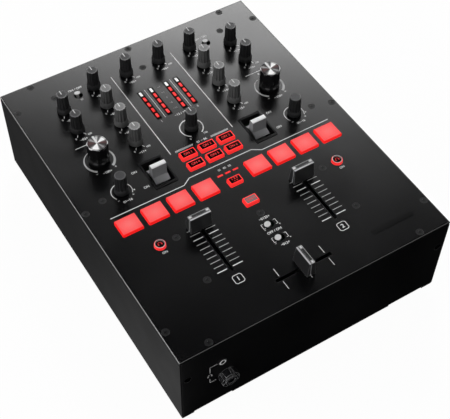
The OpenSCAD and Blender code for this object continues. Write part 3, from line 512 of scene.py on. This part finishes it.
# the sockets' places across and above the housing's floor, and their reach, in millimetres
socketPlaces = {
    "smallJack": dict(x=-90, z=58.5, sleeve=3.02, clear=5, front=-160),
    "phono": dict(x=(62, 81), rings={31: 3, 54: 2}, reach=7, barrel=4.67, wall=158.2),
    "groundPost": dict(x=103, reach=8),
    "threePin": dict(x=(-36, -6), z=42, reach=7, mouth=156.2),
    "dataSocket": dict(x=-62, reach=6.5),
    "powerPin": dict(x=-82, z=42, reach=1.2),
}


def socketFinish(point, normal):
    # 0 black, 1 steel, 2 white ring, 3 red ring, 4 the large jack's nut
    x, y, z = point.x / mm, point.y / mm, (point.z - plate["foot"]) / mm
    if y < 0:
        jack = socketPlaces["smallJack"]
        off = math.hypot(x - jack["x"], z - jack["z"])
        if off < jack["sleeve"] and y < jack["front"]:
            return 2
        return 4 if off > jack["clear"] else 0
    phono = socketPlaces["phono"]
    for centre in phono["x"]:
        for height, ring in phono["rings"].items():
            off = math.hypot(x - centre, z - height)
            if off < phono["reach"] and y > phono["wall"]:
                return ring if off > phono["barrel"] else 1
    for name in ("groundPost", "dataSocket"):
        if abs(x - socketPlaces[name]["x"]) < socketPlaces[name]["reach"]:
            return 1
    threePin = socketPlaces["threePin"]
    for centre in threePin["x"]:
        if math.hypot(x - centre, z - threePin["z"]) < threePin["reach"] and y < threePin["mouth"]:
            return 1
    pin = socketPlaces["powerPin"]
    return int(abs(x - pin["x"]) < pin["reach"] and abs(z - pin["z"]) < pin["reach"])


# pieces of a single finish
onlyFinish = {
    "plateBlack": ["faceplate"], "housingBlack": ["chassis", "front_panel", "rear_panel", "paddle_frames"],
    "rubberBlack": ["feet"], "screwBlack": ["screws"], "knobBlack": ["power_rocker"],
    "plainSteel": ["control_bodies", "loop_plunger_1", "loop_plunger_2"],
    "togglePaint": ["input_toggle_1", "input_toggle_2", "reverse_toggle", "slope_toggle"]}
for finish, names in onlyFinish.items():
    for name in names:
        dress(name, [finish])
dress("circuit_boards", ["boardGreen", "plainSteel"], boardFinish)
dress("meter_leds", ["windowBlack", "levelRed", "levelWhite", "plateBlack"], meterFinish)
for name, (x, y) in smallKnobs.items():
    body, cap = ("knobGrey", "knobGrey") if name in greyCapped else ("knobBlack", "knobDark")
    dress(name, [body, cap + "Cap", cap + "Rim", "plainSteel"], knobFinish("knob", onPlate(x, y)))
for name, (x, y) in loopKnobs.items():
    dress(name, ["knobBlack", "encoderCap", "knobDarkRim", "plainSteel"],
          knobFinish("encoder", onPlate(x, y)))
for name, (x, y) in filterKnobs.items():
    dress(name, ["knobGloss", makeSpun(name, onPlate(x, y)), "brightChrome", "plainSteel"], filterFinish)
for name in faderCaps:
    low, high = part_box(name)
    along, across = Vector((1, 0, 0)), Vector((0, 1, 0))
    if name == "crossfader":
        along, across = across, along
    dress(name, ["faderBlack", "faderLip", "plainSteel", "windowBlack"],
          faderFinish((low + high) / 2, along, across))
# the paddle's top takes the lighter copy of its grey, a painted highlight
for name in ("effect_paddle_1", "effect_paddle_2"):
    dress(name, ["paddleGrey", "paddleTopHighlight"], topFinish("paddle"))
for i in range(1, 9):
    dress(f"pad_{i}", ["padSide", "padTop"], topFinish("pad"))
for i in range(1, 7):
    dress(f"effect_button_{i}", ["buttonRed", "windowBlack"], topFinish("window"))
dress("pad_mode_button", ["buttonRed", "windowBlack"], topFinish("window"))
dress("shift_button", ["buttonRed", "shiftTop"], topFinish("window"))
for name, (x, y) in cueButtons.items():
    dress(name, ["buttonRed", "edgeSilver", "windowBlack"], cueFinish(onPlate(x, y)))
dress("sockets", ["socketBlack", "plainSteel", "ringWhite", "ringRed", "jackNut"], socketFinish)
for name in nodes:
    # lit red plastic keeps its light to itself, so the black knobs beside it stay neutral
    if name.startswith(("pad_", "effect_button", "shift_button", "cue_button", "meter_leds")):
        nodes[name].visible_glossy = False
        nodes[name].visible_diffuse = False
print("CAD nodes dressed")


# flat printing

class Inking:
    # outlines in millimetres, gathered into one thin mesh

    def __init__(self):
        self.points = []
        self.faces = []
        self.slots = []

    def area(self, outline, slot=0):
        first = len(self.points)
        self.points += outline
        self.faces.append(tuple(range(first, first + len(outline))))
        self.slots.append(slot)

    def stroke(self, line, width, slot=0):
        for (ax, ay), (bx, by) in zip(line, line[1:]):
            run = Vector((bx - ax, by - ay)).normalized() * width / 2
            ox, oy = -run.y, run.x
            self.area([(ax + ox, ay + oy), (ax - ox, ay - oy),
                       (bx - ox, by - oy), (bx + ox, by + oy)], slot)

    def arc(self, cx, cy, r, start, end, width, slot=0, widthEnd=None, steps=20):
        # angles in degrees, counter-clockwise from +x; the width may grow along it
        widthEnd = width if widthEnd is None else widthEnd
        for i in range(steps):
            a, b = (math.radians(start + (end - start) * k / steps) for k in (i, i + 1))
            wa, wb = (width + (widthEnd - width) * k / steps for k in (i, i + 1))
            self.area([(cx + (r - wa / 2) * math.cos(a), cy + (r - wa / 2) * math.sin(a)),
                       (cx + (r + wa / 2) * math.cos(a), cy + (r + wa / 2) * math.sin(a)),
                       (cx + (r + wb / 2) * math.cos(b), cy + (r + wb / 2) * math.sin(b)),
                       (cx + (r - wb / 2) * math.cos(b), cy + (r - wb / 2) * math.sin(b))], slot)

    def disc(self, cx, cy, r, slot=0, sides=24):
        self.area([(cx + r * math.cos(2 * k * math.pi / sides), cy + r * math.sin(2 * k * math.pi / sides))
                   for k in range(sides)], slot)

    def block(self, cx, cy, w, d, slot=0):
        self.area([(cx - w / 2, cy - d / 2), (cx + w / 2, cy - d / 2),
                   (cx + w / 2, cy + d / 2), (cx - w / 2, cy + d / 2)], slot)

    def phones(self, cx, cy, r, slot=0):
        # a headband and two ear cups, sized from the band's radius
        self.arc(cx, cy, r, -20, 200, r * 0.28, slot)
        for side in (-1, 1):
            self.block(cx + side * r, cy - r * 0.45, r * 0.62, r * 0.95, slot)

    def numeral(self, text, cx, cy, size, slot=0, heavy=0.022):
        # heavy is how much the strokes swell, as a share of the size
        curve = bpy.data.curves.new("numeral", "FONT")
        curve.body = text
        curve.size = size
        curve.offset = heavy * size
        curve.align_x = "CENTER"
        curve.align_y = "CENTER"
        holder = bpy.data.objects.new("numeral", curve)
        scene.collection.objects.link(holder)
        mesh = bpy.data.meshes.new_from_object(holder.evaluated_get(bpy.context.evaluated_depsgraph_get()))
        first = len(self.points)
        self.points += [(v.co.x + cx, v.co.y + cy) for v in mesh.vertices]
        for face in mesh.polygons:
            self.faces.append(tuple(first + i for i in face.vertices))
            self.slots.append(slot)
        bpy.data.objects.remove(holder)
        bpy.data.curves.remove(curve)
        bpy.data.meshes.remove(mesh)

    def lay(self, name, finishNames, body, place, height=0.03):
        # place turns (x, y, height) in millimetres into a point of the frame
        mesh = bpy.data.meshes.new(name)
        mesh.from_pydata([place(x, y, height) for x, y in self.points], [], self.faces)
        for finishName in finishNames:
            mesh.materials.append(materials[finishName])
        for face, slot in zip(mesh.polygons, self.slots):
            face.material_index = slot
        obj = bpy.data.objects.new(name, mesh)
        scene.collection.objects.link(obj)
        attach(obj, body)
        return obj


# widths of strokes and heights of characters; slots are 0 white, 1 grey, 2 dim
printing = dict(line=0.75, tick=0.6, thin=0.55, name=3.2, small=2.7)


def writeAround(ink, x, y, texts):
    for text, dx, dy, size in texts:
        ink.numeral(text, x + dx, y + dy, printing[size])


def mirrored(line, side):
    return [(side * x, y) for x, y in line]


knobScale = dict(tick=((2.8, -5.7), (4.2, -8.0)), labelAt=-12.4,
    texts=(("0", -6.0, -9.2, "small"), ("100", 7.0, -9.2, "small")))


def printKnobScale(ink, x, y, label):
    # short ticks at both ends of the travel, numbers below
    for side in (-1, 1):
        ink.stroke([(x + dx, y + dy) for dx, dy in mirrored(knobScale["tick"], side)], printing["tick"])
    writeAround(ink, x, y, knobScale["texts"])
    ink.numeral(label, x, y + knobScale["labelAt"], printing["name"])


# each crescent: where it starts and ends in degrees, and its width there
filterScale = dict(radius=13.0, crescents=((112, 236, 0.5, 2.0), (68, -56, 0.5, 2.4)), steps=28,
    bar=((-11.9, 21.2), (11.9, 21.2)),
    texts=(("0", 0, 17.8, "small"), ("−", -8.8, -13.2, "name"), ("+", 8.8, -13.2, "name"),
        ("−100+", 0, -15.2, "name")))


def printFilterScale(ink, x, y):
    for start, end, width, widthEnd in filterScale["crescents"]:
        ink.arc(x, y, filterScale["radius"], start, end, width, 1, widthEnd, filterScale["steps"])
    ink.stroke([(x + dx, y + dy) for dx, dy in filterScale["bar"]], printing["thin"])
    writeAround(ink, x, y, filterScale["texts"])


encoderScale = dict(arc=(9.0, 215, -35, 0.65), dot=(9.9, -3.4, 1.3), label=(("01−16", 0, -11.2, "name"),),
    signs=(("−", -6.7, -7.9, "name"), ("+", 6.9, -7.7, "name")))


def printEncoderScale(ink, x, y):
    ink.arc(x, y, *encoderScale["arc"])
    writeAround(ink, x, y, encoderScale["signs"])
    dx, dy, size = encoderScale["dot"]
    ink.block(x + dx, y + dy, size, size)
    writeAround(ink, x, y, encoderScale["label"])


mixScale = dict(arc=(10.3, 240, -60, 1.0), steps=36,
    texts=(("0", -7.4, -11.4, "small"), ("100", 7.4, -11.2, "small")))


def printMixScale(ink, x, y):
    ink.arc(x, y, *mixScale["arc"], steps=mixScale["steps"])
    writeAround(ink, x, y, mixScale["texts"])


frameLines = dict(sides=(((31.0, 20.65), (31.0, 129.7)), ((107.4, -14.5), (38.5, -14.7), (30.8, -9.9))),
    middle=((-31.0, -9.9), (31.0, -9.9)), title=("01 − 06", 0.1, 21.2, 3.2),
    hatches=17, hatchFrom=9.4, hatchPitch=1.03, hatch=((-0.35, 20.0), (0.35, 22.0)), hatchWidth=0.5)


def printFrames(ink):
    # frame lines of the channel strips, and the hatched bars over the effect buttons
    for side in (-1, 1):
        for line in frameLines["sides"]:
            ink.stroke(mirrored(line, side), printing["line"])
        for i in range(frameLines["hatches"]):
            x = side * (frameLines["hatchFrom"] + i * frameLines["hatchPitch"])
            ink.stroke([(x + dx, y) for dx, y in frameLines["hatch"]], frameLines["hatchWidth"])
    ink.stroke(frameLines["middle"], printing["line"])
    ink.numeral(*frameLines["title"])


meterPrint = dict(line=((13.0, 61), (13.0, 100)), lineWidth=0.4, channelAt=(18.2, 58.4),
    levels=("+9", "+3", "0", "−6", "−12"), levelTop=96.2, levelPitch=7.4,
    texts=(("−12 / +9", 0.4, 58.3, "name"), ("01   02   03", 0.3, -15.6, "small")))


def printMeters(ink):
    across, along = meterPrint["channelAt"]
    for side, channel in ((-1, "1"), (1, "2")):
        ink.stroke(mirrored(meterPrint["line"], side), meterPrint["lineWidth"])
        ink.numeral(channel, side * across, along, printing["small"])
    for i, text in enumerate(meterPrint["levels"]):
        ink.numeral(text, 0, meterPrint["levelTop"] - i * meterPrint["levelPitch"], printing["small"], 2)
    writeAround(ink, 0, 0, meterPrint["texts"])


faderScale = dict(places={"1": -49.7, "2": 49.7}, ticks=10, top=-58.2, pitch=5.2, reach=(2.6, 11.7),
    bold=(2, 9), boldWidth=0.85, numberAt=-117.5, numberSize=5.4,
    frame=((0, -113.4), (2.8, -113.4), (4.1, -114.6), (4.1, -120.3), (2.8, -121.5), (0, -121.5)))


def printFaderScale(ink, x, number):
    near, far = faderScale["reach"]
    for i in range(faderScale["ticks"]):
        y = faderScale["top"] - i * faderScale["pitch"]
        width, slot = (faderScale["boldWidth"], 0) if i in faderScale["bold"] else (printing["thin"], 1)
        for half in (-1, 1):
            ink.stroke([(x + half * near, y), (x + half * far, y)], width, slot)
    for half in (-1, 1):
        # a square with clipped corners, half of it at a time
        ink.stroke([(x + dx, y) for dx, y in mirrored(faderScale["frame"], half)], printing["tick"])
    ink.numeral(number, x, faderScale["numberAt"], faderScale["numberSize"])


toggleScale = dict(inputs=(-65.7, 65.7), switches=(-85.2, -100.7), bracketWidth=0.45,
    bracket=((5.0, 2.4), (6.7, 2.4), (6.7, -2.4), (5.0, -2.4)),
    inputTexts=(("ON / OFF", 0, 132.7, "name"), ("01", 0, 118.2, "small")),
    signs=(("−", -6.4, -3.9, "small"), ("+", 7.6, -3.9, "small")),
    titles=(("−0123+", -0.1, -77.8, "name"), ("OFF / ON", -0.2, -93.0, "name"),
        ("−012+", 0.4, -108.0, "name")))


def printToggles(ink):
    for x in toggleScale["inputs"]:
        writeAround(ink, x, 0, toggleScale["inputTexts"])
    for y in toggleScale["switches"]:
        for side in (-1, 1):
            bracket = [(dx, y + dy) for dx, dy in mirrored(toggleScale["bracket"], side)]
            ink.stroke(bracket, toggleScale["bracketWidth"])
        writeAround(ink, 0, y, toggleScale["signs"])
    writeAround(ink, 0, 0, toggleScale["titles"])


crossScale = dict(x=21.6, y=-134.7, reach=(2.8, 10.9), middle=((0, -143.6), (0, -146.4)),
    words=(("ON", 67.4, 18.9, 3.2), ("ON", 65.9, -0.1, 3.2), ("ON", 85.9, -66.2, 3.0)))


def printCrossScale(ink):
    # ends of the crossfader's travel, and the words beside the paddles and the cue buttons
    for side in (-1, 1):
        for half in (-1, 1):
            tick = [(side * crossScale["x"], crossScale["y"] + half * r) for r in crossScale["reach"]]
            ink.stroke(tick, printing["thin"])
        for word, x, y, size in crossScale["words"]:
            ink.numeral(word, side * x, y, size)
    ink.stroke(crossScale["middle"], printing["tick"])


def printPlate():
    ink = Inking()
    printFrames(ink)
    for number, (name, (x, y)) in enumerate(smallKnobs.items(), 1):
        if name == "effect_mix_knob":
            printMixScale(ink, x, y)
        else:
            printKnobScale(ink, x, y, f"−{number:02d}+")
    for x, y in filterKnobs.values():
        printFilterScale(ink, x, y)
    for x, y in loopKnobs.values():
        printEncoderScale(ink, x, y)
    printMeters(ink)
    for number, x in faderScale["places"].items():
        printFaderScale(ink, x, number)
    printToggles(ink)
    printCrossScale(ink)
    piece = ink.lay("plate_print", ["markWhite", "markGrey", "markDim"], "housing", onPlate)
    print("printing laid:", len(ink.faces), "faces")


printPlate()


# screw heads, front printing and the bare plate

screwSet = dict(head=3.1, ringWidth=0.35, slotLength=3.0, slotWidth=0.75, turnStep=0.9,
    glint=((-0.5, 0.75), (0.15, 0.9)), glintWidth=0.25, height=0.05,
    places=(
        (-99.1, 154.5), (99.1, 154.5), (0, 154.5), (-99.1, -154.5), (99.1, -154.5), (-122.3, 130.8),
        (122.3, 130.8), (-122.3, 0.5), (122.3, 0.5), (-122.3, -130.3), (122.3, -130.3), (-86.2, 131.8),
        (86.2, 131.8), (0, 125.9), (-104.2, 5.7), (104.2, 5.7), (-71.2, -58.1), (71.2, -58.1),
        (-71.3, -105.9), (71.3, -105.9), (0, -71.8)))


def screwHead(ink, x, y, turn):
    # countersink ring, crossed recess drawn darker as painted shade, and a painted glint on it
    ink.arc(x, y, screwSet["head"], 0, 360, screwSet["ringWidth"], 0)
    half = screwSet["slotLength"] / 2
    for quarter in (0, math.pi / 2):
        dx, dy = half * math.cos(turn + quarter), half * math.sin(turn + quarter)
        ink.stroke([(x - dx, y - dy), (x + dx, y + dy)], screwSet["slotWidth"], 1)
    ink.stroke([(x + half * gx, y + half * gy) for gx, gy in screwSet["glint"]], screwSet["glintWidth"], 2)


def layScrewHeads():
    ink = Inking()
    for number, (x, y) in enumerate(screwSet["places"]):
        screwHead(ink, x, y, number * screwSet["turnStep"])
    ink.lay("screw_faces", ["screwRing", "housingBlack", "knobGreyCap"], "housing", onPlate,
            screwSet["height"])


layScrewHeads()

# across the front face and above the housing's floor; lines run from the small jack to the large one
front = dict(y=-0.16015, phones=(-100.9, 45.4, 1.7), lines=(
    ((-94.2, 57.9), (-100.9, 57.9), (-100.9, 49.6)), ((-100.9, 40.6), (-100.9, 34.8), (-95.2, 34.8))))


def onFront(x, z, h=0.0):
    return Vector((x * mm, front["y"] - h * mm, plate["foot"] + z * mm))


def layFrontPrint():
    ink = Inking()
    for line in front["lines"]:
        ink.stroke(line, printing["thin"])
    ink.phones(*front["phones"])
    ink.lay("front_print", ["markWhite"], "housing", onFront)


layFrontPrint()

# the screws at the front face's ends sit in sinks: a black disc is their painted shade, an arc along its
# lower edge a painted highlight, and a grey cross lies over them
endScrew = dict(places=((-120.5, 57.5), (120.5, 57.5)), head=3.1, rim=(3.25, 200, 330, 0.3),
    cross=(((-1.2, -0.4), (1.2, 0.4)), ((0.4, -1.2), (-0.4, 1.2))), crossWidth=0.5)


def layEndScrews():
    ink = Inking()
    for x, z in endScrew["places"]:
        ink.disc(x, z, endScrew["head"])
        ink.arc(x, z, *endScrew["rim"], 1)
        for line in endScrew["cross"]:
            ink.stroke([(x + dx, z + dz) for dx, dz in line], endScrew["crossWidth"], 2)
    ink.lay("end_screw_faces", ["windowBlack", "knobDarkRim", "screwRing"], "housing", onFront,
            screwSet["height"])


layEndScrews()


def bevelledSlab(name, low, high, cut, finishName, body):
    # a block whose upper edges and corners are taken off
    (lx, ly, lz), (hx, hy, hz) = low, high
    mesh = bpy.data.meshes.new(name)
    work = bmesh.new()
    bmesh.ops.create_cube(work, size=1.0)
    for v in work.verts:
        v.co = Vector((lx if v.co.x < 0 else hx, ly if v.co.y < 0 else hy, lz if v.co.z < 0 else hz))
    edges = [e for e in work.edges if (e.verts[0].co.z + e.verts[1].co.z) / 2 > (lz + hz) / 2 or
             abs(e.verts[0].co.z - e.verts[1].co.z) > (hz - lz) / 2]
    bmesh.ops.bevel(work, geom=edges, offset=cut * mm, segments=3, affect="EDGES", profile=0.5)
    work.to_mesh(mesh)
    work.free()
    mesh.materials.append(materials[finishName])
    obj = bpy.data.objects.new(name, mesh)
    scene.collection.objects.link(obj)
    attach(obj, body)


# in front of the right cue button
barePlate = dict(x=86.2, y=-135.2, width=41.0, depth=6.2, height=0.3, cut=0.12)


def layBarePlate():
    x, y, w, d = (barePlate[key] for key in ("x", "y", "width", "depth"))
    low, high = onPlate(x - w / 2, y - d / 2), onPlate(x + w / 2, y + d / 2, barePlate["height"])
    bevelledSlab("bare_plate", low, high, barePlate["cut"], "badgeBlack", "housing")


layBarePlate()


# pointers, fader trim and marks on the buttons

pointers = {
    "small": dict(width=0.7, start=0.1, end=4.75, low=20.4, top=21.0, cut=0.08),
    "filter": dict(width=1.9, start=-0.2, end=8.6, low=21.4, top=21.76, cut=0.1),
}
filterRing = dict(radius=7.55, width=0.4, steps=48, height=21.73)


def layPointer(knob, x, y, kind):
    setting = pointers[kind]
    half = setting["width"] / 2
    bevelledSlab("pointer_" + knob, onPlate(x - half, y + setting["start"], setting["low"]),
                 onPlate(x + half, y + setting["end"], setting["top"]), setting["cut"], "markWhite", knob)


def layPointers():
    for name, (x, y) in smallKnobs.items():
        layPointer(name, x, y, "small")
    for name, (x, y) in filterKnobs.items():
        ink = Inking()
        ink.arc(x, y, filterRing["radius"], 0, 360, filterRing["width"], steps=filterRing["steps"])
        ink.lay("ring_" + name, ["windowBlack"], name, onPlate, filterRing["height"])
        layPointer(name, x, y, "filter")


layPointers()

# lines along the cap as (finish, place across it, width); slot, pads and wire's foot are blocks
faderTrim = dict(height=16.24, half=9.4, lines=((0, -2.1, 0.7), (1, -0.8, 0.45), (0, 2.3, 0.25)),
    slot=(0, 0.9, 12.8, 1.9), pad=(8.0, 0.9, 1.7, 1.0), wire=((-1.1, 2.6), (-1.1, 15.4)), wireWidth=0.5,
    wireFoot=(-1.1, 2.2, 1.3, 1.3), endAt=10.05, lean=0.0262)


def layFaderTrim():
    for name in faderCaps:
        low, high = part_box(name)
        middle = (low + high) / 2

        def place(x, y, h, turned=name == "crossfader"):
            # x along the cap, y across it toward its back
            dx, dy = (y, -x) if turned else (x, y)
            return Vector((middle.x + dx * mm, middle.y + dy * mm, plate["z"] + h * mm))

        def onEnd(y, z, side):
            return place(side * (faderTrim["endAt"] - faderTrim["lean"] * z), y, z)

        ink = Inking()
        for slot, y, width in faderTrim["lines"]:
            ink.stroke([(-faderTrim["half"], y), (faderTrim["half"], y)], width, slot)
        ink.block(*faderTrim["slot"], 1)
        padX, *pad = faderTrim["pad"]
        for side in (-1, 1):
            ink.block(side * padX, *pad, 2)
        ink.lay("trim_" + name, ["edgeSilver", "knobBlack", "markWhite"], name, place, faderTrim["height"])
        for side, end in ((-1, "left"), (1, "right")):
            wire = Inking()
            wire.stroke(faderTrim["wire"], faderTrim["wireWidth"])
            wire.block(*faderTrim["wireFoot"])
            wire.lay(f"wire_{name}_{end}", ["edgeSilver"], name, onEnd, side)


layFaderTrim()

# marks in the buttons' windows: the piece, then each text with its place, height and weight
effectMark = dict(x=(-18.65, 0, 18.65), y=(12.2, -0.5), look=(3.5, 0.012))
windowMarks = {}
for i in range(6):
    x, y = effectMark["x"][i % 3], effectMark["y"][i // 3]
    mark = (f"ON {i + 1}", x, y, *effectMark["look"])
    windowMarks[f"effect_button_{i + 1}"] = (f"button_mark_{i + 1}", [mark])
windowMarks["pad_mode_button"] = (
    "pad_mode_mark", [("1 2 3", 0, -31.7, 3.0, 0.03), ("− +", 0, -34.4, 3.0, 0.03)])
windowMarks["shift_button"] = ("shift_mark", [("ON 0", 0, -57.5, 3.4, 0.02)])
markHeight = 3.14
cueMark = dict(phones=(-58.1, 1.45), phonesHeight=2.14, shade=(3.52, 0, 360, 0.5), shadeSteps=36,
    shadeHeight=2.64)


def layButtonMarks():
    for button, (piece, texts) in windowMarks.items():
        ink = Inking()
        for text, x, y, size, heavy in texts:
            ink.numeral(text, x, y, size, heavy=heavy)
        ink.lay(piece, ["markRed"], button, onPlate, markHeight)
    for button, (x, y) in cueButtons.items():
        ink = Inking()
        ink.phones(x, *cueMark["phones"])
        ink.lay("cue_mark_" + button[-1], ["markRed"], button, onPlate, cueMark["phonesHeight"])
        ink = Inking()
        ink.arc(x, y, *cueMark["shade"], steps=cueMark["shadeSteps"])
        ink.lay("cue_shade_" + button[-1], ["windowBlack"], button, onPlate, cueMark["shadeHeight"])


layButtonMarks()
print("pointers, trim and marks laid")


# floor, lights and camera, in metres

stageSet = dict(floorSize=6.0, floorTone=0.86, floorRough=0.9, floorWhite=0.97, worldLight=0.2)
stripCard = dict(low=(-1.2, -1.2), high=(2.8, 3.0), height=1.1, bright=12.4, place=(0.70, 1.26),
    turn=54.0, reach=(0.208, 1.05))
flags = {
    "frontFlag": dict(low=(-0.125, -1.8), high=(1.6, -0.1), height=0.0006, level=(0.0, 0.0)),
    "leftFlag": dict(low=(-1.9, -1.2), high=(-0.1, 1.4), height=0.0004, level=(0.56, 0.19)),
}
flagFade = (-0.16, 0.04)
lamps = {
    "backLamp": dict(place=(0.9, 1.3, 1.6), size=0.8, power=24.0),
    "topLamp": dict(place=(-0.3, 0.0, 1.9), size=1.4, power=5.0),
    "leftLamp": dict(place=(-1.8, -0.2, 0.8), size=1.2, power=18.0),
}
lampAim = (0, 0, 0.08)
view = dict(lens=80.17, sensor=36, shift=(0.0076, 0.0607), near=0.01,
    place=(-0.296741, -0.483272, 0.736303), turn=(36.868, -0.549, -31.590))


def backdropShader(tree, lit, output):
    # plain white for what the camera, gloss and glass see; lit for everything else
    path = newNode(tree, "LightPath")
    seen = mathNode(tree, "MAXIMUM", path.outputs["Is Camera Ray"], path.outputs["Is Glossy Ray"])
    seen = mathNode(tree, "MAXIMUM", seen, path.outputs["Is Transmission Ray"])
    mix = newNode(tree, "MixShader")
    tree.links.new(lit, mix.inputs[1])
    tree.links.new(mix.outputs[0], output)
    return seen, mix


def buildWorld():
    world = bpy.data.worlds.new("studio")
    scene.world = world
    world.use_nodes = True
    tree = world.node_tree
    background = tree.nodes["Background"]
    background.inputs["Color"].default_value = (1, 1, 1, 1)
    background.inputs["Strength"].default_value = stageSet["worldLight"]
    white = newNode(tree, "Background")
    white.inputs["Color"].default_value = (1, 1, 1, 1)
    seen, mix = backdropShader(tree, background.outputs[0], tree.nodes["World Output"].inputs["Surface"])
    tree.links.new(seen, mix.inputs[0])
    tree.links.new(white.outputs[0], mix.inputs[2])


def flatStage(name, low, high, z):
    (lx, ly), (hx, hy) = low, high
    mesh = bpy.data.meshes.new(name)
    mesh.from_pydata([(lx, ly, 0), (hx, ly, 0), (hx, hy, 0), (lx, hy, 0)], [], [(0, 1, 2, 3)])
    obj = bpy.data.objects.new(name, mesh)
    obj.location.z = z
    scene.collection.objects.link(obj)
    material = bpy.data.materials.new(name)
    material.use_nodes = True
    mesh.materials.append(material)
    return obj, material.node_tree


def cardLight(name, setting):
    # a card that only reflections see, with an emission shader to fill in
    obj, tree = flatStage(name, setting["low"], setting["high"], setting["height"])
    obj.visible_camera = False
    obj.visible_diffuse = False
    obj.visible_shadow = False
    obj.visible_transmission = False
    tree.nodes.remove(tree.nodes["Principled BSDF"])
    glow = newNode(tree, "Emission")
    tree.links.new(glow.outputs[0], tree.nodes["Material Output"].inputs["Surface"])
    return tree, glow


def buildFloor():
    half = stageSet["floorSize"] / 2
    floor, tree = flatStage("floor", (-half, -half), (half, half), 0)
    shader = tree.nodes["Principled BSDF"]
    shader.inputs["Base Color"].default_value = (*[stageSet["floorTone"]] * 3, 1)
    shader.inputs["Roughness"].default_value = stageSet["floorRough"]
    shader.inputs["Specular IOR Level"].default_value = 0.0
    white = newNode(tree, "Emission")
    seen, mix = backdropShader(tree, shader.outputs[0], tree.nodes["Material Output"].inputs["Surface"])
    tree.links.new(mathNode(tree, "MULTIPLY", seen, stageSet["floorWhite"]), mix.inputs[0])
    tree.links.new(white.outputs[0], mix.inputs[2])


def buildCards():
    # overhead: a long soft strip of light behind the mixer, dark all round it
    tree, glow = cardLight("stripCard", stripCard)
    coords = newNode(tree, "TexCoord")
    placed = newNode(tree, "Mapping")
    placed.vector_type = "TEXTURE"
    placed.inputs["Location"].default_value = (*stripCard["place"], 0)
    placed.inputs["Rotation"].default_value = (0, 0, math.radians(stripCard["turn"]))
    placed.inputs["Scale"].default_value = (*stripCard["reach"], 1)
    square = newNode(tree, "VectorMath")
    square.operation = "DOT_PRODUCT"
    tree.links.new(coords.outputs["Object"], placed.inputs["Vector"])
    tree.links.new(placed.outputs["Vector"], square.inputs[0])
    tree.links.new(placed.outputs["Vector"], square.inputs[1])
    fade = mathNode(tree, "EXPONENT", mathNode(tree, "MULTIPLY", square.outputs["Value"], -1.0))
    tree.links.new(mathNode(tree, "MULTIPLY", fade, stripCard["bright"]), glow.inputs["Strength"])
    # just over the floor: dark in front of the mixer, grey at its left
    for name, setting in flags.items():
        tree, glow = cardLight(name, setting)
        coords = newNode(tree, "TexCoord")
        split = newNode(tree, "SeparateXYZ")
        tree.links.new(coords.outputs["Object"], split.inputs["Vector"])
        level = ramp(tree, split.outputs["Y"], *flagFade, *setting["level"])
        tree.links.new(level, glow.inputs["Strength"])


def addLamp(name):
    setting = lamps[name]
    lamp = bpy.data.lights.new(name, "AREA")
    lamp.shape = "SQUARE"
    lamp.size = setting["size"]
    lamp.energy = setting["power"]
    obj = bpy.data.objects.new(name, lamp)
    scene.collection.objects.link(obj)
    obj.location = setting["place"]
    aim = Vector(lampAim) - obj.location
    obj.rotation_euler = aim.to_track_quat("-Z", "Y").to_euler()
    obj.visible_glossy = False


def buildCamera():
    camera = bpy.data.cameras.new("camera")
    camera.lens = view["lens"]
    camera.sensor_width = view["sensor"]
    camera.shift_x, camera.shift_y = view["shift"]
    camera.clip_start = view["near"]
    obj = bpy.data.objects.new("camera", camera)
    scene.collection.objects.link(obj)
    obj.location = view["place"]
    obj.rotation_euler = [math.radians(a) for a in view["turn"]]
    scene.camera = obj


buildWorld()
buildFloor()
buildCards()
for name in lamps:
    addLamp(name)
buildCamera()
scene.view_settings.view_transform = "Standard"
print("stage, lamps and camera set")
